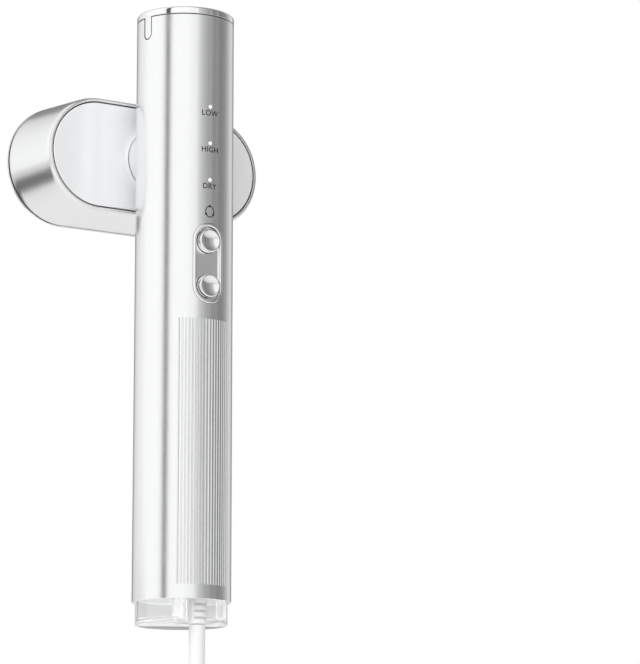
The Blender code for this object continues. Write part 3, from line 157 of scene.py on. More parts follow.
def add_node(
    tree: Tree, kind: str, inputs: dict[str | int, object] | None = None, **settings: object
) -> Node:
    """Add a node to a tree.

    Args:
        tree: The tree.
        kind: The node's type.
        inputs: Values or sockets for its inputs.
        settings: The node's own settings.

    Returns:
        The new node.
    """
    made = tree.nodes.new(kind)
    for key, value in settings.items():
        setattr(made, key, value)
    feed(made, inputs or {})
    return made


def add_socket(tree: Tree, name: str, kind: str, value: object = None, way: str = "INPUT") -> None:
    """Add a socket to a node group's interface.

    Args:
        tree: The group.
        name: The socket's name.
        kind: Socket type without its prefix, such as Float.
        value: Default value of an input.
        way: INPUT or OUTPUT.
    """
    made = tree.interface.new_socket(name, in_out=way, socket_type=f"NodeSocket{kind}")
    if value is not None:
        made.default_value = value


def surface_group() -> Tree:
    """Shader group for the small unevenness of a finish.

    Returns:
        A group that puts out a colour, a roughness and a bump height that vary
        softly over the surface.
    """
    found = bpy.data.node_groups.get("surface_unevenness")
    if found:
        return found
    tree = bpy.data.node_groups.new("surface_unevenness", "ShaderNodeTree")
    for name, kind, value in (
        ("Vector", "Vector", None),
        ("Base", "Color", (0.8, 0.8, 0.8, 1.0)),
        ("Shade", "Color", (0.7, 0.7, 0.7, 1.0)),
        ("Amount", "Float", 0.3),
        ("Low Roughness", "Float", 0.2),
        ("High Roughness", "Float", 0.3),
        ("Cloud Scale", "Float", 40.0),
        ("Grain Scale", "Float", 900.0),
    ):
        add_socket(tree, name, kind, value)
    for name, kind in (("Color", "Color"), ("Roughness", "Float"), ("Height", "Float")):
        add_socket(tree, name, kind, way="OUTPUT")
    entry = add_node(tree, "NodeGroupInput").outputs
    cloud, grain = (
        add_node(
            tree, "ShaderNodeTexNoise", {"Vector": entry["Vector"], "Scale": entry[scale], "Detail": detail}
        )
        for scale, detail in (("Cloud Scale", 3.0), ("Grain Scale", 2.0))
    )
    amounts = {0: cloud.outputs["Fac"], 1: entry["Amount"]}
    share = add_node(tree, "ShaderNodeMath", amounts, operation="MULTIPLY")
    colours = {"Factor": share.outputs[0], 6: entry["Base"], 7: entry["Shade"]}
    mix = add_node(tree, "ShaderNodeMix", colours, data_type="RGBA")
    ends = {"To Min": entry["Low Roughness"], "To Max": entry["High Roughness"]}
    fac = grain.outputs["Fac"]
    spread = add_node(tree, "ShaderNodeMapRange", {"Value": fac, "From Min": 0.3, "From Max": 0.7, **ends})
    leave = {"Color": mix.outputs[2], "Roughness": spread.outputs[0], "Height": fac}
    add_node(tree, "NodeGroupOutput", leave)
    return tree


# ---- finishes


@dataclass(frozen=True)
class Finish:
    """One finish of the steamer, made into a material on first use.

    Attributes:
        name: Material name.
        base: Main colour.
        shade: Colour of the soft darker patches.
        amount: How much of the shade shows.
        roughness: Lowest and highest roughness over the grain.
        metallic: Metallic value.
        stretch: Scale of the grain along X, Y and Z; a small value draws it out.
        cloud: Scale of the soft patches.
        grain: Scale of the fine grain.
        bump: Height of the grain in metres.
        transmission: Transmission weight of a clear finish.
        ior: Index of refraction.
        glow: Emission strength of a lit piece; on the clear tank it is painted glow, as the tank is no lamp.
    """

    name: str
    base: Point
    shade: Point
    amount: float = 0.3
    roughness: tuple[float, float] = (0.3, 0.4)
    metallic: float = 0.0
    stretch: Point = (1.0, 1.0, 1.0)
    cloud: float = 40.0
    grain: float = 900.0
    bump: float = 0.0
    transmission: float = 0.0
    ior: float = 1.5
    glow: float = 0.0

    def material(self) -> bpy.types.Material:
        """Return the finish as a node material."""
        found = bpy.data.materials.get(self.name)
        if found:
            return found
        made = bpy.data.materials.new(self.name)
        made.use_nodes = True
        tree = made.node_tree
        shader = tree.nodes["Principled BSDF"]
        place = add_node(tree, "ShaderNodeTexCoord")
        spread = {"Scale": self.stretch, "Vector": place.outputs["Object"]}
        mapping = add_node(tree, "ShaderNodeMapping", spread)
        values = {
            "Vector": mapping.outputs["Vector"],
            "Base": (*self.base, 1.0),
            "Shade": (*self.shade, 1.0),
            "Amount": self.amount,
            "Low Roughness": self.roughness[0],
            "High Roughness": self.roughness[1],
            "Cloud Scale": self.cloud,
            "Grain Scale": self.grain,
        }
        uneven = add_node(tree, "ShaderNodeGroup", values, node_tree=surface_group()).outputs
        feed(shader, {
            "Base Color": uneven["Color"],
            "Roughness": uneven["Roughness"],
            "Metallic": self.metallic,
            "IOR": self.ior,
            "Transmission Weight": self.transmission,
        })
        if self.bump:
            height = {"Distance": self.bump, "Strength": 1.0, "Height": uneven["Height"]}
            feed(shader, {"Normal": add_node(tree, "ShaderNodeBump", height).outputs["Normal"]})
        if self.glow:
            feed(shader, {"Emission Color": uneven["Color"], "Emission Strength": self.glow})
        made.diffuse_color = (*self.base, 1.0)
        return made


SATIN_SILVER = Finish(
    "satin_silver", (0.91, 0.915, 0.92), (0.86, 0.865, 0.87), 0.25, (0.20, 0.25), 1.0,
    stretch=(1.0, 1.0, 0.05), cloud=60.0, grain=2600.0, bump=0.0000015,
)
HEAD_SILVER = Finish(
    "head_silver", (0.92, 0.925, 0.93), (0.86, 0.865, 0.87), 0.25, (0.20, 0.26), 1.0,
    stretch=(0.2, 1.0, 1.0), cloud=50.0, grain=2400.0, bump=0.0000015,
)
COVER_SILVER = Finish(
    "cover_silver", (0.93, 0.935, 0.945), (0.84, 0.85, 0.865), 0.5, (0.20, 0.23), 0.2,
    cloud=26.0, grain=1800.0,
)
BRIGHT_CHROME = Finish(
    "bright_chrome", (0.93, 0.93, 0.94), (0.88, 0.88, 0.89), 0.3, (0.04, 0.07), 1.0,
    cloud=80.0, grain=1500.0, bump=0.0000008,
)
PLATE_STEEL = Finish(
    "plate_steel", (0.80, 0.80, 0.81), (0.74, 0.74, 0.75), 0.35, (0.10, 0.15), 1.0,
    stretch=(1.0, 1.0, 0.3), cloud=35.0, grain=2200.0, bump=0.0000015,
)
PLAIN_STEEL = Finish(
    "plain_steel", (0.62, 0.62, 0.64), (0.5, 0.5, 0.52), 0.4, (0.28, 0.4), 1.0, bump=0.000003,
)
CAST_METAL = Finish(
    "cast_metal", (0.60, 0.61, 0.62), (0.47, 0.48, 0.5), 0.6, (0.5, 0.7), 0.9,
    cloud=70.0, grain=1300.0, bump=0.00004,
)
BRASS = Finish(
    "machined_brass", (0.80, 0.62, 0.30), (0.66, 0.48, 0.22), 0.4, (0.22, 0.34), 1.0, bump=0.000003,
)
WINDING = Finish(
    "wound_copper", (0.62, 0.27, 0.11), (0.42, 0.16, 0.06), 0.6, (0.3, 0.45), 0.6,
    stretch=(0.05, 0.05, 1.0), grain=3000.0, bump=0.00006,
)
WHITE_MOULDING = Finish(
    "white_moulding", (0.92, 0.925, 0.93), (0.88, 0.885, 0.89), 0.35, (0.38, 0.48),
    grain=1500.0, bump=0.000008,
)
CORD_JACKET = Finish(
    "cord_jacket", (0.90, 0.905, 0.91), (0.86, 0.865, 0.87), 0.35, (0.42, 0.55),
    cloud=90.0, grain=1100.0, bump=0.00001,
)
GREY_MOULDING = Finish(
    "grey_moulding", (0.22, 0.225, 0.23), (0.16, 0.165, 0.17), 0.4, (0.42, 0.55), grain=1400.0, bump=0.00001,
)
# Near-black rubber of the dark silicone parts; the same finish fills the seams at the cap, rear cover and hub
# as painted shade.
BLACK_RUBBER_AND_SEAM_SHADE = Finish(
    "black_rubber_and_seam_shade", (0.025, 0.025, 0.027), (0.05, 0.05, 0.052), 0.4, (0.55, 0.7), grain=1600.0, bump=0.00001,
)
# Painted glow: a faint emission that brightens the clear tank, which is no lamp.
CLEAR_TANK_PAINTED_GLOW = Finish(
    "clear_polymer", (0.995, 0.998, 1.0), (0.985, 0.99, 0.992), 0.3, (0.0, 0.02),
    grain=300.0, transmission=0.9, ior=1.45, glow=0.08,
)
CLEAR_RUBBER = Finish(
    "clear_rubber", (0.90, 0.90, 0.88), (0.84, 0.84, 0.81), 0.4, (0.3, 0.4), transmission=0.6, ior=1.41,
)
LIGHT_DIFFUSER = Finish(
    "milky_diffuser", (0.97, 0.97, 0.97), (0.93, 0.93, 0.94), 0.3, (0.25, 0.35), grain=1200.0, glow=0.3,
)
PRINT_INK = Finish("print_ink", (0.012, 0.013, 0.014), (0.02, 0.021, 0.022), 0.4, (0.5, 0.65), grain=2400.0)
BOARD_GREEN = Finish(
    "board_green", (0.02, 0.16, 0.07), (0.01, 0.10, 0.05), 0.5, (0.3, 0.45),
    stretch=(1.0, 1.0, 0.4), bump=0.00001,
)
# Painted shade: near-black walls inside the open steam vents.
VENT_PAINTED_SHADE = Finish("vent_painted_shade", (0.02, 0.02, 0.02), (0.035, 0.035, 0.035), 0.4, (0.6, 0.8), 0.3, grain=1500.0)
PALE_FLOOR = Finish("studio_pale", (0.92,) * 3, (0.90,) * 3, 0.3, (0.7, 0.8), cloud=2.0, grain=60.0)
DARK_CARD = Finish("studio_dark", (0.10,) * 3, (0.12,) * 3, 0.3, (0.8, 0.9), cloud=3.0, grain=40.0)

SLOT_FINISHES = {
    "silver_body": SATIN_SILVER,
    "chrome_trim": BRIGHT_CHROME,
    "soleplate_steel": PLATE_STEEL,
    "steel": PLAIN_STEEL,
    "cast_aluminium": CAST_METAL,
    "brass": BRASS,
    "copper_winding": WINDING,
    "grey_plastic": GREY_MOULDING,
    "circuit_board": BOARD_GREEN,
    "light_diffuser": LIGHT_DIFFUSER,
    "white_plastic": WHITE_MOULDING,
    "clear_tank": CLEAR_TANK_PAINTED_GLOW,
    "clear_silicone": CLEAR_RUBBER,
    "dark_silicone": BLACK_RUBBER_AND_SEAM_SHADE,
    "cord_cover": CORD_JACKET,
}


# ---- mesh making


def new_object(name: str, data: bpy.types.ID) -> Object:
    """Link a mesh, curve, light or camera to the scene as an object at the origin."""
    obj = bpy.data.objects.new(name, data)
    bpy.context.scene.collection.objects.link(obj)
    return obj


def mesh_from(shape: bmesh.types.BMesh, name: str, repair: bool = True) -> Object:
    """Turn a bmesh into an object and free it.

    Args:
        shape: The shape, which is used up.
        name: Name of the object and its mesh.
        repair: Whether to merge doubles and turn all faces outwards.

    Returns:
        The new object.
    """
    if repair:
        bmesh.ops.remove_doubles(shape, verts=shape.verts, dist=0.000001)
        bmesh.ops.recalc_face_normals(shape, faces=shape.faces)
    mesh = bpy.data.meshes.new(name)
    shape.to_mesh(mesh)
    shape.free()
    return new_object(name, mesh)


def loft(name: str, rings: Sequence[Ring], loop: bool = False) -> Object:
    """Join rings of equal count into a closed shape.

    Args:
        name: Name of the object.
        rings: Rings of points, each a closed line.
        loop: Whether the last ring joins the first; otherwise both ends are capped.

    Returns:
        The new object.
    """
    shape = bmesh.new()
    rows = [[shape.verts.new(point) for point in ring] for ring in rings]
    pairs = list(zip(rows, rows[1:]))
    if loop:
        pairs.append((rows[-1], rows[0]))
    for first, second in pairs:
        for i in range(len(first)):
            after = (i + 1) % len(first)
            shape.faces.new((first[i], first[after], second[after], second[i]))
    if not loop:
        shape.faces.new(rows[0])
        shape.faces.new(rows[-1])
    return mesh_from(shape, name)


def turned(
    name: str,
    profile: Pairs,
    centre: Point = (0.0, 0.0, 0.0),
    axis: Axis = Axis.UP,
    steps: int = 128,
    loop: bool = False,
) -> Object:
    """Turn a profile about an axis.

    Args:
        name: Name of the object.
        profile: Points of (radius, distance along the axis).
        centre: Where the axis starts.
        axis: UP turns about Z, OUT about Y.
        steps: Number of sides.
        loop: Whether the profile closes on itself, as a ring's does.

    Returns:
        The new object, with caps where the profile ends off the axis.
    """
    x, y, z = centre
    rings: list[Ring] = []
    for radius, along in profile:
        safe = max(radius, 0.000004)
        ring: Ring = []
        for i in range(steps):
            angle = 2.0 * math.pi * i / steps
            u, v = safe * math.cos(angle), safe * math.sin(angle)
            ring.append((x + u, y + v, z + along) if axis is Axis.UP else (x + u, y + along, z + v))
        rings.append(ring)
    return loft(name, rings, loop)


def stadium(half_length: float, half_width: float, count: int = 28) -> list[tuple[float, float]]:
    """Outline with round ends, long along its first axis."""
    reach = half_length - half_width
    points = []
    for side in (1.0, -1.0):
        for i in range(count + 1):
            angle = math.pi * (i / count - 0.5)
            along = side * (reach + half_width * math.cos(angle))
            points.append((along, side * half_width * math.sin(angle)))
    return points


def box(name: str, low: Sequence[float], high: Sequence[float]) -> Object:
    """A block between two corners, used as a cutter."""
    shape = bmesh.new()
    bmesh.ops.create_cube(shape, size=1.0)
    low_corner, high_corner = Vector(low), Vector(high)
    bmesh.ops.scale(shape, vec=high_corner - low_corner, verts=shape.verts)
    bmesh.ops.translate(shape, vec=(low_corner + high_corner) / 2.0, verts=shape.verts)
    return mesh_from(shape, name)


def move(obj: Object, matrix: Matrix) -> Object:
    """Apply a matrix to an object's mesh."""
    obj.data.transform(matrix)
    obj.data.update()
    return obj


def evaluated_mesh(obj: Object) -> bpy.types.Mesh:
    """A plain mesh of an object with its modifiers applied."""
    graph = bpy.context.evaluated_depsgraph_get()
    graph.update()
    return bpy.data.meshes.new_from_object(obj.evaluated_get(graph))


def baked(obj: Object) -> Object:
    """Replace an object's mesh by its evaluated one and drop its modifiers."""
    mesh = evaluated_mesh(obj)
    old = obj.data
    obj.modifiers.clear()
    obj.data = mesh
    mesh.name = obj.name
    bpy.data.meshes.remove(old)
    return obj


def cut(obj: Object, cutter: Object, operation: str = "DIFFERENCE") -> Object:
    """Apply a Boolean and remove the cutter.

    Args:
        obj: The object that is kept.
        cutter: The object that is used up.
        operation: DIFFERENCE, UNION or INTERSECT.

    Returns:
        The kept object.
    """
    modifier = obj.modifiers.new("cut", "BOOLEAN")
    modifier.operation = operation
    modifier.solver = "EXACT"
    modifier.object = cutter
    baked(obj)
    bpy.data.objects.remove(cutter, do_unlink=True)
    return obj


def joined(name: str, objects: Iterable[Object]) -> Object:
    """One object of several separate shapes."""
    shape = bmesh.new()
    for obj in objects:
        shape.from_mesh(obj.data)
        bpy.data.objects.remove(obj, do_unlink=True)
    return mesh_from(shape, name, repair=False)


def rounded(obj: Object, width: float, segments: int) -> Object:
    """Round the sharp edges of an object."""
    modifier = obj.modifiers.new("round", "BEVEL")
    modifier.width = width
    modifier.segments = segments
    modifier.limit_method = "ANGLE"
    modifier.angle_limit = math.radians(40.0)
    modifier.harden_normals = False
    return baked(obj)


def dressed(
    obj: Object, finish: Finish, body: Body, nodes: Sequence[str] = (), angle: float = 32.0
) -> Object:
    """Give a piece its finish, smooth it, and let it ride on its body.

    Args:
        obj: The piece.
        finish: Its finish.
        body: The body that carries it.
        nodes: Model nodes that it stands for.
        angle: Edges sharper than this stay sharp.

    Returns:
        The piece.
    """
    is_mesh = isinstance(obj.data, bpy.types.Mesh)
    obj.data.materials.clear()
    obj.data.materials.append(finish.material())
    if is_mesh:
        obj.data.shade_smooth()
        obj.data.set_sharp_from_angle(angle=math.radians(angle))
    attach(obj, body.value)
    if nodes:
        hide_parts(*nodes)
    LOG.info("made %s for %s", obj.name, body.value)
    return obj


def keep_flat(obj: Object, outward: Vector) -> None:
    """Mark the edges round a flat side as sharp, so that shallow pockets in it don't bend its shading.

    Args:
        obj: The piece, already smooth shaded.
        outward: Direction that the flat side faces.
    """
    mesh = obj.data
    sides: dict[tuple[int, int], set[bool]] = {}
    for face in mesh.polygons:
        flat = face.normal.dot(outward) > 0.99995
        for key in face.edge_keys:
            sides.setdefault(key, set()).add(flat)
    for edge in mesh.edges:
        if len(sides.get(tuple(sorted(edge.vertices)), ())) > 1:
            edge.use_edge_sharp = True


def exact_round_normals(obj: Object, radius: float) -> None:
    """Give the faces on a cylinder about Z exactly radial normals, so that cuts leave no shading marks.

    Args:
        obj: The piece, already smooth shaded.
        radius: The cylinder's radius.
    """
    mesh = obj.data
    normals = [Vector(corner.vector) for corner in mesh.corner_normals]
    for face in mesh.polygons:
        spots = [mesh.vertices[i].co for i in face.vertices]
        if all(abs(math.hypot(spot.x, spot.y) - radius) < 0.02 * MM for spot in spots):
            outward = Vector((face.center.x, face.center.y, 0.0))
            if face.normal.dot(outward.normalized()) > 0.9:
                for loop in face.loop_indices:
                    spot = mesh.vertices[mesh.loops[loop].vertex_index].co
                    normals[loop] = Vector((spot.x, spot.y, 0.0)).normalized()
    mesh.normals_split_custom_set([tuple(normal) for normal in normals])


# ---- geometry nodes


@dataclass
class PatternTree:
    """A Geometry Nodes tree that puts copies of a shape on places, made real at its end.

    Attributes:
        name: Name of the tree.
    """

    name: str
    tree: Tree = field(init=False)

    def __post_init__(self) -> None:
        """Start the tree with its geometry output."""
        self.tree = bpy.data.node_groups.new(self.name, "GeometryNodeTree")
        add_socket(self.tree, "Geometry", "Geometry", way="OUTPUT")
        self.entry = add_node(self.tree, "NodeGroupInput")

    def number(self, name: str, value: float) -> Socket:
        """Add a named input, whole where its value is, and return its socket inside the tree."""
        add_socket(self.tree, name, "Int" if isinstance(value, int) else "Float", value)
        return self.entry.outputs[name]

    def node(self, kind: str, inputs: dict[str | int, object] | None = None, **settings: object) -> Node:
        """Add a node with its inputs and settings."""
        return add_node(self.tree, kind, inputs, **settings)

    def math(self, operation: str, first: object, *second: object) -> Socket:
        """Add a Math node fed by sockets or numbers and return its result."""
        return self.node("ShaderNodeMath", dict(enumerate((first, *second))), operation=operation).outputs[0]

    def times(self, first: object, second: object) -> Socket:
        """Multiply two sockets or numbers."""
        return self.math("MULTIPLY", first, second)

    def vector(self, **parts: object) -> Socket:
        """Combine the named parts X, Y and Z; the others are zero."""
        return self.node("ShaderNodeCombineXYZ", parts).outputs[0]

    def placed(self, inputs: dict[str, object], spot: Socket) -> Socket:
        """Points at the given positions, one for each index.

        Args:
            inputs: Inputs of the line of points, such as its Count.
            spot: Position as a function of the index.

        Returns:
            The points.
        """
        line = self.node("GeometryNodeMeshLine", inputs, mode="OFFSET")
        moved = {"Geometry": line.outputs["Mesh"], "Position": spot}
        return self.node("GeometryNodeSetPosition", moved).outputs[0]

    def end(self, finish: Finish, **copies: object) -> PatternTree:
        """Copy a shape to points, make the copies real, set their material and put them out.

        Args:
            finish: Finish of the copies.
            copies: Points, Instance, Rotation and Scale of the copies.

        Returns:
            The finished tree.
        """
        spread = self.node("GeometryNodeInstanceOnPoints", copies)
        real = self.node("GeometryNodeRealizeInstances", {0: spread.outputs[0]})
        painted = {"Geometry": real.outputs[0], "Material": finish.material()}
        paint = self.node("GeometryNodeSetMaterial", painted)
        self.node("NodeGroupOutput", {0: paint.outputs[0]})
        return self

    def bake(self, name: str, values: dict[str, float]) -> Object:
        """Run the tree on an empty mesh and keep the result as a plain mesh.

        Args:
            name: Name of the object.
            values: Value of each named input.

        Returns:
            The new object, without the modifier.
        """
        obj = new_object(name, bpy.data.meshes.new(name))
        modifier = obj.modifiers.new("pattern", "NODES")
        modifier.node_group = self.tree
        for item in self.tree.interface.items_tree:
            if item.in_out == "INPUT" and item.name in values:
                modifier[item.identifier] = values[item.name]
        return baked(obj)


def groove_tree(finish: Finish) -> PatternTree:
    """Tree of straight round bars side by side on a cylinder about Z.

    Args:
        finish: Finish of the bars.

    Returns:
        The tree, with inputs for radius, pitch, count, width and ends.
    """
    made = PatternTree("grip_grooves")
    radius, pitch = made.number("Radius", 0.022), made.number("Pitch", 0.07)
    count, width = made.number("Count", 19), made.number("Width", 0.0008)
    low, high = made.number("Low", -0.058), made.number("High", 0.058)
    index = made.node("GeometryNodeInputIndex").outputs[0]
    centre = made.math("DIVIDE", made.math("SUBTRACT", count, 1.0), 2.0)
    angle = made.times(made.math("SUBTRACT", index, centre), pitch)
    x = made.times(made.math("SINE", angle), radius)
    y = made.times(made.times(made.math("COSINE", angle), radius), -1.0)
    spot = made.vector(X=x, Y=y, Z=made.math("DIVIDE", made.math("ADD", low, high), 2.0))
    sizes = {"Radius": made.math("DIVIDE", width, 2.0), "Depth": made.math("SUBTRACT", high, low)}
    sizes |= {"Vertices": 12, "Side Segments": 1}
    bar = made.node("GeometryNodeMeshCylinder", sizes, fill_type="NGON")
    points = made.placed({"Count": count, "Offset": (0.0, 0.0, 0.0)}, spot)
    return made.end(finish, Points=points, Instance=bar.outputs["Mesh"], Rotation=made.vector(Z=angle))


def petal_tree(finish: Finish) -> PatternTree:
    """Tree of tilted flat ellipsoids in crosses along X, used to press the pockets.

    Args:
        finish: Finish of the pocket walls.

    Returns:
        The tree, with inputs for pitch, spread, tilt and size of the petals.
    """
    made = PatternTree("steam_petals")
    pitch, along, across = (
        made.number(name, value) for name, value in (("Pitch", 0.0208), ("Along", 0.0042), ("Across", 0.0052))
    )
    length, width, depth, tilt = (
        made.number(name, value)
        for name, value in (("Length", 0.0067), ("Width", 0.0027), ("Depth", 0.0014), ("Tilt", 0.76))
    )
    index = made.node("GeometryNodeInputIndex").outputs[0]
    cross = made.math("SUBTRACT", made.math("FLOOR", made.math("DIVIDE", index, 4.0)), 2.0)
    way = made.math("SUBTRACT", made.times(made.math("MODULO", index, 2.0), 2.0), 1.0)
    half = made.math("FLOOR", made.math("DIVIDE", made.math("MODULO", index, 4.0), 2.0))
    side = made.math("SUBTRACT", made.times(half, 2.0), 1.0)
    along_plate = made.math("ADD", made.times(cross, pitch), made.times(way, along))
    spot = made.vector(X=along_plate, Z=made.times(side, across))
    outside = made.math("GREATER_THAN", made.times(cross, way), 1.5)
    chosen = {"Geometry": made.placed({"Count": 20}, spot), "Selection": outside}
    keep = made.node("GeometryNodeDeleteGeometry", chosen, domain="POINT")
    ball = made.node("GeometryNodeMeshUVSphere", {"Segments": 28, "Rings": 14, "Radius": 0.5})
    turn = made.vector(Y=made.times(made.times(made.times(way, side), tilt), -1.0))
    size = made.vector(X=length, Y=depth, Z=width)
    return made.end(finish, Points=keep.outputs[0], Instance=ball.outputs["Mesh"], Rotation=turn, Scale=size)


# ---- cord


@dataclass
class MainsCord:
    """The mains cord: a free hanging stretch, a wound coil and a plug that lies on it.

    Attributes:
        radius: Radius of the jacket.
        centre: Middle of the coil.
        mean: Mean radius of the coil's two columns.
        length: Real length of the cord; not used.
        plug_angle: Angle on the coil at which the cord enters the plug, in degrees.
        plug_heading: Turn of the plug about the vertical, in degrees.
        plug_height: Height of the plug's moulding.
        step: Angle between two points of the coil, in degrees.
    """

    radius: float = 3.6 * MM
    centre: tuple[float, float] = (48.0 * MM, 33.0 * MM)
    mean: float = 42.0 * MM
    length: float = 1.65
    plug_angle: float = 82.0
    plug_heading: float = 100.0
    plug_height: float = 14.0 * MM
    step: float = 12.0

    def levels(self) -> list[float]:
        """Heights of the coil's three layers and of the stretch on top of it."""
        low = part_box("lead_coil")[0][2] + self.radius
        return [low + 2.0 * self.radius * i for i in range(3)] + [low + 6.0 * self.radius + 0.3 * MM]

    def lead(self) -> list[Vector]:
        """Points from the strain relief to the coil's first turn."""
        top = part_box("strain_relief")[0][2]
        bottom = PLACES.bottom
        first = self.levels()[0]
        points = [
            (0.0, -0.0134, top - 0.0003),
            (0.0, -0.0134, bottom - 0.025),
            (0.0, -0.0134, bottom - 0.040),
            (0.00008, -0.01342, bottom - 0.060),
            (0.0003, -0.0135, bottom - 0.080),
            (0.0007, -0.01365, bottom - 0.098),
            (0.0015, -0.0140, bottom - 0.115),
            (0.0032, -0.01452, bottom - 0.130),
            (0.0060, -0.0152, bottom - 0.144),
            (0.0100, -0.0160, bottom - 0.1545),
            (0.0150, -0.0168, bottom - 0.163),
            (0.0215, -0.0176, bottom - 0.170),
            (0.0300, -0.0177, (bottom - 0.170 + first) / 2.0 - 0.0015),
            (0.0390, -0.0169, first),
        ]
        return [Vector(point) for point in points]

    def coil(self) -> list[Vector]:
        """Points of the turns, which change column or layer each in a sector of their own."""
        low, mid, high, lying = self.levels()
        outer, inner = self.mean + self.radius, self.mean - self.radius
        changes = [
            (-80.0, outer, low), (204.0, outer, low),
            (270.0, inner, low), (512.0, inner, low),
            (564.0, inner, mid), (806.0, inner, mid),
            (872.0, outer, mid), (1122.0, outer, mid),
            (1166.0, outer, high), (1416.0, outer, high),
            (1482.0, inner, high), (1722.0, inner, high),
            (1776.0, inner, lying), (1882.0, inner, lying),
        ]
        points = []
        angle, last = changes[0][0], changes[-1][0]
        while angle < last:
            points.append(self.on_turn(angle, changes))
            angle += self.step
        points.append(self.on_turn(last, changes))
        return points

    def on_turn(self, angle: float, changes: Sequence[Point]) -> Vector:
        """The point of the winding at an angle, in degrees, eased between the changes."""
        for (start, r0, z0), (end, r1, z1) in zip(changes, changes[1:]):
            if angle <= end:
                share = (angle - start) / (end - start)
                eased = 2.0 * share * share if share < 0.5 else 1.0 - 2.0 * (1.0 - share) ** 2
                return self.around(r0 + (r1 - r0) * eased, math.radians(angle), z0 + (z1 - z0) * eased)
        raise ValueError("the angle lies past the coil's end")

    def around(self, radius: float, turn: float, height: float) -> Vector:
        """A point at a radius and an angle round the coil's middle."""
        x, y = self.centre
        return Vector((x + radius * math.cos(turn), y + radius * math.sin(turn), height))

    def route(self) -> list[Vector]:
        """All points of the cord from the strain relief to the plug."""
        turns = self.coil()
        heading = math.radians(self.plug_heading - 5.0)
        tail = turns[-1] + Vector((-math.sin(heading), math.cos(heading), 0.0)) * 3.5 * MM
        return [*self.lead(), *turns, tail]

    def build(self) -> None:
        curve = bpy.data.curves.new("mains_cord", "CURVE")
        curve.dimensions = "3D"
        curve.bevel_depth = self.radius
        curve.bevel_resolution = 5
        curve.use_fill_caps = True
        curve.resolution_u = 6
        points = self.route()
        spline = curve.splines.new("BEZIER")
        spline.bezier_points.add(len(points) - 1)
        for i, point in enumerate(points):
            before = points[max(i - 1, 0)]
            after = points[min(i + 1, len(points) - 1)]
            direction = (after - before).normalized()
            knot = spline.bezier_points[i]
            knot.co = point
            knot.handle_left_type = knot.handle_right_type = "FREE"
            knot.handle_left = point - direction * (point - before).length / 3.0
            knot.handle_right = point + direction * (after - point).length / 3.0
        cord = new_object("mains_cord", curve)
        dressed(cord, CORD_JACKET, Body.HANDLE, ("mains_lead", "lead_coil"))
        plug = self.plug()
        tuple(points[0])

    def plug(self) -> Object:
        """The moulded plug with its ribbed tail."""
        half = self.plug_height / 2.0
        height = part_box("lead_coil")[1][2] + 0.3 * MM + half
        start = self.around(self.mean - self.radius, math.radians(self.plug_angle), height)
        place = Matrix.Translation(start) @ Matrix.Rotation(math.radians(self.plug_heading), 4, "Z")
        sections = [
            (20.0, 6.2, 4.9), (20.6, 7.0, 5.6), (24.0, 8.6, 6.4), (30.0, 9.6, 6.85),
            (40.0, 10.0, 7.0), (48.6, 10.0, 7.0), (49.7, 9.5, 6.6), (50.0, 8.9, 6.1),
        ]
        sides, squareness = 64, 0.55
        rings: list[Ring] = []
        for along, half_width, half_height in sections:
            ring: Ring = []
            for i in range(sides):
                angle = 2.0 * math.pi * i / sides
                c, s = math.cos(angle), math.sin(angle)
                x = math.copysign(abs(c) ** squareness, c) * half_width * MM
                z = math.copysign(abs(s) ** squareness, s) * half_height * MM
                ring.append((x, along * MM, z))
            rings.append(ring)
        shell = move(loft("plug_shell", rings), place)
        ribs = [(0.0, 2.0), (3.6, 2.05)]
        for i in range(7):
            along, radius = 2.2 + i * 2.6, 3.9 + i * 0.17
            neck = radius - 0.75
            ribs += [(radius, along), (radius + 0.15, along + 1.5), (neck, along + 1.7), (neck, along + 2.4)]
        ribs += [(4.6, 21.5), (0.0, 21.5)]
        tail = turned("plug_tail", mm(ribs), (0.0, 0.0, self.radius + 0.3 * MM - half), Axis.OUT, 48)
        piece = joined("plug_moulding", [shell, move(tail, place)])
        return dressed(piece, CORD_JACKET, Body.HANDLE, ("plug_body",))


# ---- handle


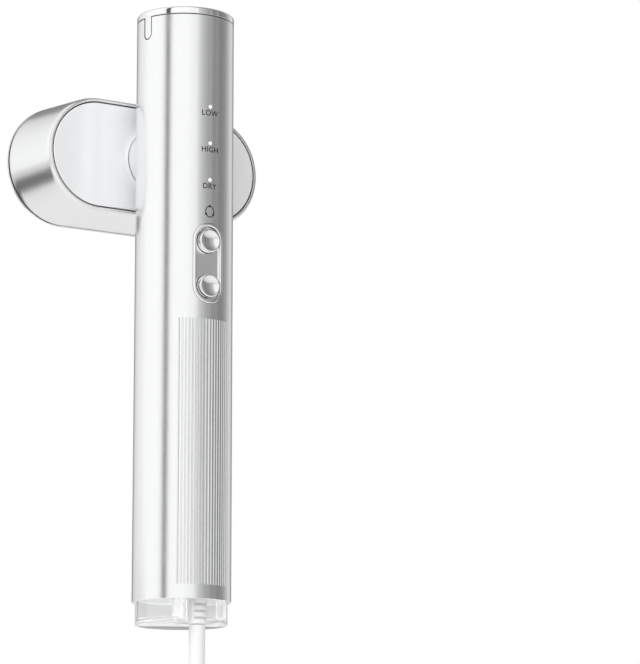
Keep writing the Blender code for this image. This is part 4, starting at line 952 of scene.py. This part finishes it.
@dataclass
class Controls:
    """The sunk button panel, its buttons, and the printing under the indicators.

    Attributes:
        width: Width of the rim.
        height: Height of the rim.
        rim: Width of the rim's band.
        button_radius: Radius of each button.
        dish: Depth of a button's hollow face.
        lettering: Height of the printed words.
        ink: Half thickness of the printing.
    """

    width: float = 15.5 * MM
    height: float = 36.3 * MM
    rim: float = 1.7 * MM
    button_radius: float = 5.2 * MM
    dish: float = 1.15 * MM
    lettering: float = 2.55 * MM
    ink: float = 0.01 * MM

    def outline(self, inset: float) -> list[tuple[float, float]]:
        """The rim's upright outline, drawn in by an inset."""
        points = stadium(self.height / 2.0 - inset, self.width / 2.0 - inset, 30)
        return [(b, middle("button_bezel") - a) for a, b in points]

    def build(self) -> None:
        """Make all control pieces."""
        self.panel()
        self.buttons()
        self.printing()

    def panel(self) -> None:
        """The rim that follows the tube, and the sunk deck."""
        face = PLACES.tube_radius
        crown = [(0.0, -1.9), (0.0, 0.02), (0.12, 0.18), (0.35, 0.28), (0.8, 0.3), (1.25, 0.2), (1.55, -0.05)]
        section = [*mm(crown, 0.0, face), (self.rim, face - 0.45 * MM), (self.rim, face - 1.9 * MM)]
        rings = []
        for inset, radius in section:
            rings.append([(x, -math.sqrt(radius * radius - x * x), z) for x, z in self.outline(inset)])
        rim = loft("button_rim", rings, loop=True)
        dressed(rim, BRIGHT_CHROME, Body.HANDLE, ("button_bezel",), 50.0)
        front = -(face - 2.2 * MM)
        outline = self.outline(self.rim / 2.0)
        deck = loft("button_deck", [[(x, y, z) for x, z in outline] for y in (front, front + 1.6 * MM)])
        radius = self.button_radius + 0.3 * MM
        for node in ("power_button", "mode_button"):
            hole = [(radius, -30.0 * MM), (radius, 0.0)]
            cut(deck, turned("deck_hole", hole, (0.0, 0.0, middle(node)), Axis.OUT, 64))
        dressed(deck, SATIN_SILVER, Body.HANDLE)

    def buttons(self) -> None:
        """Two bright caps with a dished face."""
        rim = self.button_radius
        for node, body in (("power_button", Body.POWER), ("mode_button", Body.MODE)):
            low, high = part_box(node)
            front, back = low[1], high[1]
            flange, step = rim + 0.9 * MM, back - 1.0 * MM
            profile = [(0.0, back), (flange, back), (flange, step), (rim, step)]
            profile += mm([(0.0, 0.6), (-0.1, 0.25), (-0.35, 0.03), (-0.6, 0.0), (-0.85, 0.08)], rim, front)
            edge = rim - 0.85 * MM
            for i in range(1, 15):
                share = 1.0 - i / 14.0
                profile.append((edge * share, front + 0.08 * MM + self.dish * (1.0 - share**2)))
            cap = turned(f"{node}_cap", profile, (0.0, 0.0, middle(node)), Axis.OUT, 96)
            dressed(cap, BRIGHT_CHROME, body, (node,), 50.0)

    def printed(self, name: str, shape: Object, z: float) -> None:
        """Wrap a flat shape, drawn in X and Y, on the tube at a height.

        Args:
            name: Name of the piece.
            shape: Flat mesh about the origin.
            z: Height of the shape's middle.
        """
        radius = PLACES.tube_radius + 0.03 * MM
        for vertex in shape.data.vertices:
            x, y, thickness = vertex.co
            angle, lift = x / radius, radius + thickness
            vertex.co = (lift * math.sin(angle), -lift * math.cos(angle), z + y)
        shape.name = shape.data.name = name
        dressed(shape, PRINT_INK, Body.HANDLE)

    def word(self, text: str) -> Object:
        """A printed word as a thin mesh about the origin."""
        curve = bpy.data.curves.new(f"word_{text}", "FONT")
        curve.body = text
        curve.size = self.lettering * 1.38
        curve.align_x = curve.align_y = "CENTER"
        curve.space_character = 1.06
        curve.extrude = self.ink
        curve.offset = 0.035 * MM
        obj = new_object(curve.name, curve)
        mesh = evaluated_mesh(obj)
        bpy.data.objects.remove(obj, do_unlink=True)
        made = new_object(f"word_{text}", mesh)
        centre = sum((Vector(corner) for corner in made.bound_box), Vector()) / 8.0
        return move(made, Matrix.Translation(-centre))

    def printing(self) -> None:
        """The words under the indicators, and the mode mark of a ring with three dots."""
        for text in ("LOW", "HIGH", "DRY"):
            led = f"led_{text.lower()}"
            self.printed(f"print_{text.lower()}", self.word(text), middle(led) - 2.85 * MM)
        thin = self.ink
        outer, inner = 2.42 * MM, 2.02 * MM
        band = [(outer, thin), (outer, -thin), (inner, -thin), (inner, thin)]
        parts = [turned("mark_ring", band, steps=96, loop=True)]
        track = 0.5 * (outer + inner)
        wide, thick = 0.55 * MM, thin * 1.5
        dot = [(0.0, thick), (wide, thick), (wide, -thick), (0.0, -thick)]
        for angle in map(math.radians, (90.0, 208.0, 332.0)):
            spot = (track * math.cos(angle), track * math.sin(angle), 0.0)
            parts.append(turned("mark_dot", dot, spot, steps=32))
        mark = move(joined("mode_mark", parts), Matrix.Diagonal((0.96, 1.12, 1.0, 1.0)))
        self.printed("print_mode_mark", mark, middle("led_dry") - 14.5 * MM)


@dataclass
class Handle:
    """The round silver handle with its grooved grip and end cap.

    Attributes:
        steps: Sides of the round pieces.
        groove_count: Number of grooves in the grip.
        groove_pitch: Angle between two grooves.
        groove_width: Diameter of the round bar that presses a groove.
        groove_rise: Height of the bar's axis over the tube's skin.
        tab_angle: Angle of the cap's tabs from the button side.
        tab_width: Width of a tab.
        tab_gap: Width of the seam round a tab.
        cap_gap: Height of the seam under the cap.
        light_radius: Radius of a hole for an indicator.
    """

    steps: int = 288
    groove_count: int = 19
    groove_pitch: float = math.radians(4.0)
    groove_width: float = 0.82 * MM
    groove_rise: float = 0.04 * MM
    tab_angle: float = math.radians(82.0)
    tab_width: float = 4.2 * MM
    tab_gap: float = 0.55 * MM
    cap_gap: float = 0.3 * MM
    light_radius: float = 0.92 * MM

    def build(self) -> None:
        """Make the handle's pieces."""
        self.tube()
        self.cap()
        self.cap_seam_shade()

    def around(self, name: str, outer: float, inner: float, low: float, high: float) -> Object:
        """A plain ring about the handle's axis between two radii and two heights."""
        profile = [(outer, low), (outer, high), (inner, high), (inner, low)]
        return turned(name, profile, steps=self.steps, loop=True)

    def tab_shapes(self, margin: float, foot: float, inner: float, outer: float) -> Object:
        """Two upright blocks with round feet through the wall, one on each side.

        Args:
            margin: Added on each side of a tab.
            foot: Height of the lowest point.
            inner: Nearest distance from the axis.
            outer: Farthest distance from the axis.

        Returns:
            One object with both blocks.
        """
        half = self.tab_width / 2.0 + margin
        top = PLACES.cap_top + 2.0 * MM
        outline = [(half, top), (-half, top)]
        for i in range(17):
            angle = math.pi * (1.0 + i / 16.0)
            outline.append((half * math.cos(angle), foot + half + half * math.sin(angle)))
        blocks = []
        for side in (-1.0, 1.0):
            rings = [[(x, -depth, z) for x, z in outline] for depth in (inner, outer)]
            block = loft(f"tab_{side:+.0f}", rings)
            blocks.append(move(block, Matrix.Rotation(side * self.tab_angle, 4, "Z")))
        return joined("tab_blocks", blocks)

    def tube(self) -> None:
        """The tube with all its openings and the grip's grooves."""
        outer, inner = PLACES.tube_radius, PLACES.bore_radius
        low, high = PLACES.bottom, PLACES.top
        edge = 0.15 * MM
        skin = [(outer - edge, low), (outer, low + edge), (outer, high - edge), (outer - edge, high)]
        tube = turned("handle_body", [*skin, (inner, high), (inner, low)], steps=self.steps, loop=True)
        depths = (-outer * 1.2, -12.0 * MM)
        opening = Controls().outline(-0.12 * MM)
        cut(tube, loft("window", [[(x, y, z) for x, z in opening] for y in depths]))
        for node in ("led_low", "led_high", "led_dry"):
            hole = [(self.light_radius, y) for y in depths]
            cut(tube, turned("light_hole", hole, (0.0, 0.0, middle(node)), Axis.OUT, 32))
        bore = [(PLACES.hub_bore, 12.0 * MM), (PLACES.hub_bore, 30.0 * MM)]
        cut(tube, turned("hub_hole", bore, HUB, Axis.OUT, 64))
        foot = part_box("top_cap")[0][2] - self.tab_gap
        cut(tube, self.tab_shapes(self.tab_gap, foot, inner - 3.0 * MM, outer + 3.0 * MM))
        cut(tube, self.grooves())
        near, far = low + 0.6 * MM, low + 30.0 * MM
        face, back = inner - 0.02 * MM, inner - 0.12 * MM
        lining = [(face, near), (face, far), (back, far), (back, near)]
        dressed(turned("tank_guide", lining, steps=144, loop=True), WHITE_MOULDING, Body.HANDLE)
        dressed(tube, SATIN_SILVER, Body.HANDLE, ("handle_tube",), 24.0)
        exact_round_normals(tube, outer)

    def grooves(self) -> Object:
        """Round bars that press the grooves between the grip's fine ribs."""
        values = {
            "Radius": PLACES.tube_radius + self.groove_rise,
            "Pitch": self.groove_pitch,
            "Count": self.groove_count,
            "Width": self.groove_width,
            "Low": PLACES.bottom + 6.3 * MM,
            "High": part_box("button_bezel")[0][2] - 7.0 * MM,
        }
        return groove_tree(SATIN_SILVER).bake("grip_grooves", values)

    def cap(self) -> None:
        """The bright end cap with its two tabs."""
        low, high = PLACES.top + self.cap_gap, PLACES.cap_top
        outer, inner = PLACES.tube_radius, PLACES.bore_radius - 0.3 * MM
        crown = [(-1.6, 0.0), (-0.9, -0.03), (-0.45, -0.16), (-0.16, -0.42), (-0.03, -0.75), (0.0, -1.1)]
        skirt = [(0.0, 0.0), (0.0, -6.0), (-1.4, -6.0), (-1.4, 1.0)]
        profile = [(0.0, high), *mm(crown, outer, high), *mm([(0.0, 0.15), (-0.15, 0.0)], outer, low)]
        cap = turned("end_cap", [*profile, *mm(skirt, inner, low), (0.0, low + 1.0 * MM)], steps=self.steps)
        dressed(cap, BRIGHT_CHROME, Body.HANDLE, ("top_cap",), 40.0)
        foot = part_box("top_cap")[0][2]
        tabs = self.around("cap_tabs", outer - 0.1 * MM, inner - 1.0 * MM, low, foot - 1.0 * MM)
        cut(tabs, self.tab_shapes(0.0, foot, inner - 3.0 * MM, outer + 3.0 * MM), "INTERSECT")
        dressed(tabs, SATIN_SILVER, Body.HANDLE, angle=30.0)

    def cap_seam_shade(self) -> None:
        """Painted shade: a thin near-black fill in the seam under the cap and round its tabs."""
        low = PLACES.top
        outer, inner = PLACES.tube_radius - 0.04 * MM, PLACES.bore_radius
        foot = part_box("top_cap")[0][2]
        play = 0.01 * MM
        wide = self.tab_gap - play
        seam = self.around("seam_shade_band", outer, inner, low, low + self.cap_gap)
        sides = self.around("tab_shade_band", outer, inner, low, foot - 1.0 * MM)
        cut(sides, self.tab_shapes(wide, foot - wide, inner - 3.0 * MM, outer + 3.0 * MM), "INTERSECT")
        for part in (sides, seam):
            cut(part, self.tab_shapes(play, foot, inner - 4.0 * MM, outer + 4.0 * MM))
        dressed(joined("cap_seam_shade_fill", [seam, sides]), BLACK_RUBBER_AND_SEAM_SHADE, Body.HANDLE)


@dataclass
class TankFoot:
    """The clear pull-out tank and the cord's strain relief in its channel.

    Attributes:
        wall: Wall thickness of the tank.
        floor: Floor thickness of the tank.
        channel: Half width of the open channel.
        corner: Radius of the channel's corners.
        relief_slots: Heights of the strain relief's slots above its lower end.
    """

    wall: float = 1.4 * MM
    floor: float = 2.0 * MM
    channel: float = 7.5 * MM
    corner: float = 0.9 * MM
    relief_slots: tuple[float, ...] = (2.6 * MM, 5.6 * MM, 8.6 * MM)

    def build(self) -> None:
        """Make the tank and the strain relief."""
        self.tank()
        self.relief()

    def outline(self, inset: float) -> list[tuple[float, float]]:
        """The tank's round outline with its channel, drawn in by an inset, with rounded corners."""
        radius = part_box("water_tank")[1][1] - inset
        half, back = self.channel + inset, inset - self.channel
        soft = self.corner
        gap = math.asin((half + soft) / radius)
        points = []
        for i in range(121):
            angle = gap - math.pi / 2.0 + 2.0 * (math.pi - gap) * i / 120
            points.append((radius * math.cos(angle), radius * math.sin(angle)))
        mouth = -math.sqrt(radius * radius - half * half)
        left = [(-half, mouth + soft), (-half, back - soft)]
        for i in range(1, 6):
            angle = math.pi / 2.0 * i / 6.0
            left.append((-half + soft * (1.0 - math.cos(angle)), back - soft * (1.0 - math.sin(angle))))
        left.append((-half + soft, back))
        return points + left + [(-x, y) for x, y in reversed(left)]

    def tank(self) -> None:
        """The clear tank, open at its top, with rounded lower edges."""
        low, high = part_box("water_tank")
        floor = low[2] + self.floor
        levels = mm([(0.0, 0.5), (0.08, 0.22), (0.22, 0.08), (0.5, 0.0)], low[2])
        levels += [(high[2], 0.0), (high[2], self.wall)]
        levels += mm([(0.8, 0.0), (0.2, 0.25), (0.0, 0.9)], floor, self.wall)
        tank = loft("clear_water_tank", [[(x, y, z) for x, y in self.outline(inset)] for z, inset in levels])
        dressed(tank, CLEAR_TANK_PAINTED_GLOW, Body.TANK, ("water_tank",), 50.0)

    def relief(self) -> None:
        """The tapered white sleeve on the cord, with slots cut across it."""
        low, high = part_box("strain_relief")
        x, y, z = (low[0] + high[0]) / 2.0, (low[1] + high[1]) / 2.0, low[2]
        tall = high[2] - low[2]
        profile = mm([(0.0, 0.0), (3.75, 0.0), (3.95, 0.15), (4.0, 0.5)])
        profile += mm([(4.35, -2.9), (4.6, -2.5), (5.2, -2.4), (5.2, 0.0), (0.0, 0.0)], 0.0, tall)
        sleeve = turned("cord_sleeve", profile, (x, y, z), steps=96)
        for rise in self.relief_slots:
            for near, far in mm([(-6.0, -2.0), (2.0, 6.0)], y, y):
                level = z + rise
                slot = box("slot", (-3.0 * MM, near, level - 0.5 * MM), (3.0 * MM, far, level + 0.5 * MM))
                cut(sleeve, slot)
        rounded(sleeve, 0.08 * MM, 2)
        dressed(sleeve, WHITE_MOULDING, Body.HANDLE, ("strain_relief",), 40.0)


# ---- head


@dataclass
class SteamHead:
    """The swivelling head: shell, rear cover, boss, soleplate and trim.

    Attributes:
        rear: Distance of the shell's rear rim from the handle's axis.
        front: Distance of the shell's front edge.
        rear_half: Half length and half width of the shell near the rear.
        front_half: Half length and half width of the shell at the front.
        pitch: Distance between the steam openings.
        vent: Radius of a steam opening.
        slot_half: Half length of the middle opening.
    """

    rear: float = 26.0 * MM
    front: float = 57.8 * MM
    rear_half: tuple[float, float] = (55.4 * MM, 26.3 * MM)
    front_half: tuple[float, float] = (58.6 * MM, 27.8 * MM)
    pitch: float = 10.4 * MM
    vent: float = 1.65 * MM
    slot_half: float = 3.0 * MM

    def half_sizes(self, y: float) -> tuple[float, float]:
        """The shell's outer half length and half width at a distance from the handle's axis."""
        share = (y - self.rear) / (self.front - self.rear)
        length = self.rear_half[0] + (self.front_half[0] - self.rear_half[0]) * share
        return length, self.rear_half[1] + (self.front_half[1] - self.rear_half[1]) * share

    def ring(self, y: float, length: float, width: float, count: int = 72) -> Ring:
        """An upright stadium ring at a distance from the handle's axis."""
        return [(x, y, z + PLACES.hub) for x, z in stadium(length, width, count)]

    def rings(self, start: float, length: float, width: float, table: Pairs) -> list[Ring]:
        """Rings from a table of distances from a start and insets, in millimetres."""
        return [self.ring(y, length - inset, width - inset) for y, inset in mm(table, start)]

    def sections(self, start: float, table: Pairs) -> list[Ring]:
        """Rings that follow the shell, from a table of distances from a start and insets, in millimetres."""
        made = []
        for y, inset in mm(table, start):
            length, width = self.half_sizes(y)
            made.append(self.ring(y, length - inset, width - inset))
        return made

    def plate_sizes(self, node: str) -> tuple[float, float, float, float]:
        """Back, face, half length and half width of a flat model node."""
        low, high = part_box(node)
        return low[1], high[1], high[0], (high[2] - low[2]) / 2.0

    def build(self) -> None:
        """Make the head's pieces."""
        self.shell()
        self.cover()
        self.boss()
        self.soleplate()
        self.trim()

    def shell(self) -> None:
        """The tapered shell, with a rolled rear rim round the cover."""
        rear, front = self.rear, self.front
        rim = [(0.45, 1.9), (0.1, 1.7), (0.0, 1.35), (0.04, 1.0), (0.2, 0.65), (0.55, 0.34)]
        rings = self.sections(rear, [*rim, (1.1, 0.13), (1.9, 0.03), (2.8, 0.0)])
        side = (front - rear) / MM - 3.1
        rings += self.sections(rear, [(2.8 + side * i / 12.0, 0.0) for i in range(1, 12)])
        rings += self.sections(front, [(-0.3, 0.0), (-0.08, 0.06), (0.0, 0.28), (0.0, 1.8)])
        rings += self.sections(rear, [(2.3, 1.8), (2.2, 1.9)])
        shell = loft("head_casing", rings, loop=True)
        dressed(shell, HEAD_SILVER, Body.HEAD, ("head_shell",), 40.0)

    def cover(self) -> None:
        """The silver rear cover, with a soft collar that rises to the swivel's boss."""
        y = self.rear
        length, width = (half - 2.35 * MM for half in self.half_sizes(y))
        edge = [(2.0, 0.0), (0.35, 0.0), (0.1, 0.1), (0.0, 0.4)]
        plate = loft("rear_plate", self.rings(y, length, width, edge))
        # Painted shade: a near-black fill under the gap between the rear cover and the shell's rim.
        seam = self.rings(y, length, width, [(0.5, 0.0), (0.5, -0.44), (2.0, -0.44), (2.0, 0.0)])
        dressed(loft("rear_seam_shade", seam, loop=True), BLACK_RUBBER_AND_SEAM_SHADE, Body.HEAD)
        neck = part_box("rear_cover")[0][1]
        wide, narrow = 18.6 * MM, 15.2 * MM
        profile = [(narrow - 5.0 * MM, y + 1.0 * MM), (wide + 0.2 * MM, y + 1.0 * MM), (wide, y + 0.012 * MM)]
        for i in range(1, 13):
            turn = i / 12.0 * math.pi / 2.0
            rise = (y - neck - 0.12 * MM) * (1.0 - math.cos(turn))
            profile.append((wide - (wide - narrow) * math.sin(turn), y - rise))
        profile += [(narrow - 0.12 * MM, neck), (9.0 * MM, neck), (9.0 * MM, y + 1.0 * MM)]
        cut(plate, turned("collar", profile, HUB, Axis.OUT, 144, loop=True), "UNION")
        cut(plate, turned("bore", mm([(8.4, 0.0), (8.4, 40.0)]), HUB, Axis.OUT, 64))
        plate.name = "rear_casing"
        dressed(plate, COVER_SILVER, Body.HEAD, ("rear_cover",), 30.0)
        keep_flat(plate, Vector((0.0, -1.0, 0.0)))

    def boss(self) -> None:
        """The fixed boss on the handle, with a rounded face edge, and a near-black band of painted shade in
        the gap in front of it.
        """
        low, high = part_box("swivel_boss")
        outer, face, foot = high[0], high[1], 11.0 * MM
        inner = PLACES.hub_bore
        edge = [*mm([(0.0, -0.3), (0.3, 0.0)], inner, face)]
        edge += mm([(-0.5, 0.0), (-0.15, -0.15), (0.0, -0.5)], outer, face)
        boss = turned("swivel_mount", [(inner, foot), *edge, (outer, foot)], HUB, Axis.OUT, 144, loop=True)
        radius = PLACES.tube_radius + 0.15 * MM
        cut(boss, turned("saddle", mm([(0.0, -40.0), (0.0, 40.0)], radius, PLACES.hub), steps=288))
        ring_low, ring_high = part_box("friction_ring")
        wide, narrow = ring_high[0] + 0.1 * MM, ring_high[0] - 2.3 * MM
        deep, above = ring_low[1] - 0.1 * MM, face + MM
        groove = [(wide, deep), (wide, above), (narrow, above), (narrow, deep)]
        cut(boss, turned("groove", groove, HUB, Axis.OUT, 96, loop=True))
        dressed(boss, SATIN_SILVER, Body.HANDLE, ("swivel_boss",), 35.0)
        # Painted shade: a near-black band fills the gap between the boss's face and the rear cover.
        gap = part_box("rear_cover")[0][1] - face
        near, far = face + gap * 0.05, face + gap * 0.95
        wide, narrow = outer - 0.15 * MM, outer - 0.9 * MM
        band = [(wide, near), (wide, far), (narrow, far), (narrow, near)]
        hub_shade = turned("hub_seam_shade", band, HUB, Axis.OUT, 144, loop=True)
        dressed(hub_shade, BLACK_RUBBER_AND_SEAM_SHADE, Body.HANDLE)

    def soleplate(self) -> None:
        """The polished plate with its vents, blind end holes and petal pockets."""
        back, face, length, width = self.plate_sizes("soleplate")
        rings = self.rings(back, length, width, [(0.0, 0.2), (0.2, 0.0)])
        rings += self.rings(face, length, width, [(-0.45, 0.0), (-0.2, 0.08), (-0.05, 0.25), (0.0, 0.5)])
        plate = loft("sole", rings)
        values = {"Along": 4.2 * MM, "Across": 5.2 * MM, "Length": 7.6 * MM, "Width": 3.15 * MM}
        values |= {"Depth": 1.9 * MM, "Pitch": 2.0 * self.pitch, "Tilt": math.radians(44.0)}
        petals = petal_tree(PLATE_STEEL).bake("petal_pockets", values)
        cut(plate, move(petals, Matrix.Translation((0.0, face + 0.42 * MM, PLACES.hub))))
        holes = []
        for k in range(-4, 5):
            start = back - 1.0 * MM if abs(k) < 4 else face - 0.5 * MM
            depths = (start, face + MM)
            if k == 0:
                holes.append(loft("vent_slot", [self.ring(y, self.slot_half, self.vent, 16) for y in depths]))
            else:
                place = (self.pitch * k, 0.0, PLACES.hub)
                holes.append(turned("vent", [(self.vent, y) for y in depths], place, Axis.OUT, 40))
        cut(plate, joined("vents", holes))
        dressed(plate, PLATE_STEEL, Body.HEAD, ("soleplate",), 30.0)
        keep_flat(plate, Vector((0.0, 1.0, 0.0)))
        self.shaded_vent_walls(back, face - 0.25 * MM)

    def shaded_vent_walls(self, back: float, front: float) -> None:
        """Painted shade: near-black walls inside the open vents, between two distances from the handle's
        axis.
        """
        thin, thick = 0.02 * MM, 0.25 * MM
        wall = [(thin, back), (thin, front), (thick, front), (thick, back)]
        parts = []
        for k in range(-3, 4):
            if k == 0:
                rings = [self.ring(y, self.slot_half - inset, self.vent - inset, 16) for inset, y in wall]
                parts.append(loft("slot_shade_wall", rings, loop=True))
            else:
                place = (self.pitch * k, 0.0, PLACES.hub)
                profile = [(self.vent - inset, y) for inset, y in wall]
                parts.append(turned("vent_shade_wall", profile, place, Axis.OUT, 40, loop=True))
        dressed(joined("vent_shade_walls", parts), VENT_PAINTED_SHADE, Body.HEAD, angle=40.0)

    def trim(self) -> None:
        """The bright ring round the soleplate."""
        back, face, length, width = self.plate_sizes("trim_ring")
        rings = self.rings(back, length, width, [(0.0, 1.0), (0.0, 0.15), (0.15, 0.0)])
        lip = [(-0.35, 0.0), (-0.1, 0.12), (0.0, 0.4), (-0.1, 0.85), (-0.4, 1.0)]
        rings += self.rings(face, length, width, lip)
        trim = loft("plate_trim", rings, loop=True)
        dressed(trim, BRIGHT_CHROME, Body.HEAD, ("trim_ring",), 40.0)


# ---- model nodes


def dress_model_nodes() -> None:
    """Give every model node the finish of its material slot."""
    slots = {part["node"]: part["material_slot"] for part in frame["record"]["subparts"]}
    for name, obj in frame["nodes"].items():
        finish = SLOT_FINISHES[slots[name]]
        for slot_item in obj.material_slots:
            slot_item.material = finish.material()
        if not obj.material_slots:
            obj.data.materials.append(finish.material())


# ---- studio


@dataclass
class Studio:
    """Camera, floor and soft light.

    Attributes:
        azimuth: Camera's angle round the handle, from -Y towards -X, in degrees.
        distance: Camera's distance from the handle's axis.
        rise: Camera's height from the handle's lower edge.
        yaw: Turn of the view to the right of the axis, in degrees.
        pitch: Upward tilt of the view, in degrees.
        focal: Focal length for a 36 mm wide sensor, in millimetres.
        floor: Height of the floor.
    """

    azimuth: float = 31.2
    distance: float = 1.5
    rise: float = -0.15436
    yaw: float = 2.341
    pitch: float = 10.441
    focal: float = 191.2
    floor: float = -0.2452

    def build(self) -> None:
        """Make the studio."""
        self.camera()
        self.ground()
        self.world()
        self.lamps()
        self.flag()

    def aim(self, obj: Object, place: Vector, view: Vector) -> None:
        """Put a camera or light at a place and point it along a direction."""
        obj.matrix_world = Matrix.Translation(place) @ view.to_track_quat("-Z", "Y").to_matrix().to_4x4()

    def camera(self) -> None:
        """The camera, at a fixed place with no shift."""
        data = bpy.data.cameras.new("camera")
        data.sensor_width = 36.0
        data.sensor_fit = "HORIZONTAL"
        data.lens = self.focal
        data.clip_start = 0.05
        data.clip_end = 50.0
        obj = new_object("camera", data)
        side, heading, tilt = map(math.radians, (self.azimuth, self.azimuth + self.yaw, self.pitch))
        x, y = -math.sin(side) * self.distance, -math.cos(side) * self.distance
        place = Vector((x, y, PLACES.bottom + self.rise))
        flat = Vector((math.sin(heading), math.cos(heading), 0.0))
        self.aim(obj, place, flat * math.cos(tilt) + Vector((0.0, 0.0, math.sin(tilt))))
        bpy.context.scene.camera = obj

    def ground(self) -> None:
        """A plain pale floor."""
        shape = bmesh.new()
        bmesh.ops.create_circle(shape, cap_ends=True, radius=6.0, segments=96)
        bmesh.ops.translate(shape, vec=(0.0, 0.0, self.floor), verts=shape.verts)
        floor = mesh_from(shape, "studio_floor", repair=False)
        floor.data.materials.append(PALE_FLOOR.material())

    def flag(self) -> None:
        """A dark card low behind the steamer, out of the camera's sight, that shapes the head's side."""
        shape = bmesh.new()
        corners = [(-0.75, 0.50, -0.24), (0.05, 0.95, -0.24), (0.05, 0.95, -0.02), (-0.75, 0.50, -0.02)]
        shape.faces.new([shape.verts.new(corner) for corner in corners])
        card = mesh_from(shape, "studio_flag", repair=False)
        card.data.materials.append(DARK_CARD.material())
        card.visible_camera = card.visible_shadow = card.visible_diffuse = False

    def world(self) -> None:
        """Soft surroundings: white, with the grey gaps that lie between the light panels."""
        world = bpy.data.worlds.new("studio_world")
        bpy.context.scene.world = world
        world.use_nodes = True
        tree = world.node_tree
        tree.nodes.clear()
        coords = add_node(tree, "ShaderNodeTexCoord")
        parts = add_node(tree, "ShaderNodeSeparateXYZ", {0: coords.outputs["Generated"]}).outputs
        angle = add_node(tree, "ShaderNodeMath", {0: parts["X"], 1: parts["Y"]}, operation="ARCTAN2")
        round_light = self.ramp(tree, angle.outputs[0], math.pi, self.round_light())
        high_light = self.ramp(tree, parts["Z"], 1.0, self.high_light())
        colours = {"Factor": 1.0, 6: round_light, 7: high_light}
        both = add_node(tree, "ShaderNodeMix", colours, data_type="RGBA", blend_type="MULTIPLY")
        lit = add_node(tree, "ShaderNodeBackground", {"Color": both.outputs[2], "Strength": 1.0})
        plain = add_node(tree, "ShaderNodeBackground", {"Color": (1.0, 1.0, 1.0, 1.0), "Strength": 1.0})
        seen = add_node(tree, "ShaderNodeLightPath").outputs["Is Camera Ray"]
        choose = add_node(tree, "ShaderNodeMixShader", {"Fac": seen, 1: lit.outputs[0], 2: plain.outputs[0]})
        add_node(tree, "ShaderNodeOutputWorld", {"Surface": choose.outputs[0]})
        bpy.context.scene.view_settings.view_transform = "Standard"
        bpy.context.scene.view_settings.look = "None"

    def ramp(self, tree: Tree, source: Socket, reach: float, stops: Pairs) -> Socket:
        """Turn a value into a brightness through a smooth ramp.

        Args:
            tree: The tree.
            source: The value.
            reach: The value's largest size to either side of zero.
            stops: Pairs of place, from 0 to 1, and brightness.

        Returns:
            The ramp's colour.
        """
        share = add_node(tree, "ShaderNodeMapRange", {"Value": source, "From Min": -reach, "From Max": reach})
        made = add_node(tree, "ShaderNodeValToRGB", {"Fac": share.outputs[0]})
        ramp = made.color_ramp
        ramp.interpolation = "EASE"
        while len(ramp.elements) > 1:
            ramp.elements.remove(ramp.elements[-1])
        ramp.elements[0].position = stops[0][0]
        for place, value in stops[1:]:
            ramp.elements.new(place)
        for element, (place, value) in zip(ramp.elements, stops):
            element.color = (value, value, value, 1.0)
        return made.outputs["Color"]

    def round_light(self) -> list[tuple[float, float]]:
        """Brightness round the horizon, from the places of the light panels and the gaps between them.

        Returns:
            Pairs of place on the ramp and brightness. The table gives degrees to
            the right of the line from handle to camera.
        """
        stops = [
            (-179.0, 0.24), (-158.0, 0.24), (-150.0, 0.70), (-136.0, 0.82), (-117.0, 0.94), (-97.0, 1.06),
            (-58.0, 1.08), (-48.0, 0.95), (-46.0, 0.12), (-37.5, 0.10), (-34.5, 0.95), (-30.0, 1.08),
            (6.0, 1.06), (18.0, 0.98), (32.0, 0.70), (46.0, 0.50), (60.0, 0.33), (62.5, 0.30),
            (64.0, 0.72), (65.5, 0.29), (74.0, 0.25), (81.0, 0.22), (82.5, 0.72), (84.0, 0.22),
            (92.0, 0.22), (105.0, 0.25), (115.0, 0.36), (127.0, 0.55), (139.0, 0.74),
            (148.0, 0.74), (156.0, 0.26),
        ]
        return sorted(((self.azimuth - side) % 360.0 / 360.0, value) for side, value in stops)

    def high_light(self) -> list[tuple[float, float]]:
        """Brightness from straight down to straight up."""
        return [(0.0, 0.9), (0.30, 0.85), (0.42, 0.95), (0.5, 1.0), (0.75, 1.0), (0.9, 0.92), (1.0, 0.95)]

    def lamps(self) -> None:
        """One large soft panel above and one fill behind."""
        for name, spot, size, power in (
            ("key_panel", (-0.9, -1.0, 1.5), 1.6, 20.0),
            ("fill_panel", (1.2, 0.9, 0.8), 1.4, 6.0),
        ):
            data = bpy.data.lights.new(name, "AREA")
            data.shape = "SQUARE"
            data.size = size
            data.energy = power
            obj = new_object(name, data)
            self.aim(obj, Vector(spot), Vector((0.0, 0.0, 0.05)) - Vector(spot))
            obj.visible_glossy = False


# ---- main


def main() -> None:
    """Build the whole steamer and its studio."""
    logging.basicConfig(level=logging.INFO, format="%(message)s")
    steps: list[tuple[str, Callable[[], None]]] = [
        ("studio", Studio().build),
        ("model nodes", dress_model_nodes),
        ("mains cord", MainsCord().build),
        ("handle", Handle().build),
        ("controls", Controls().build),
        ("tank foot", TankFoot().build),
        ("steam head", SteamHead().build),
    ]
    for title, build in steps:
        build()
        LOG.info("finished %s", title)


if __name__ == "__main__":
    main()
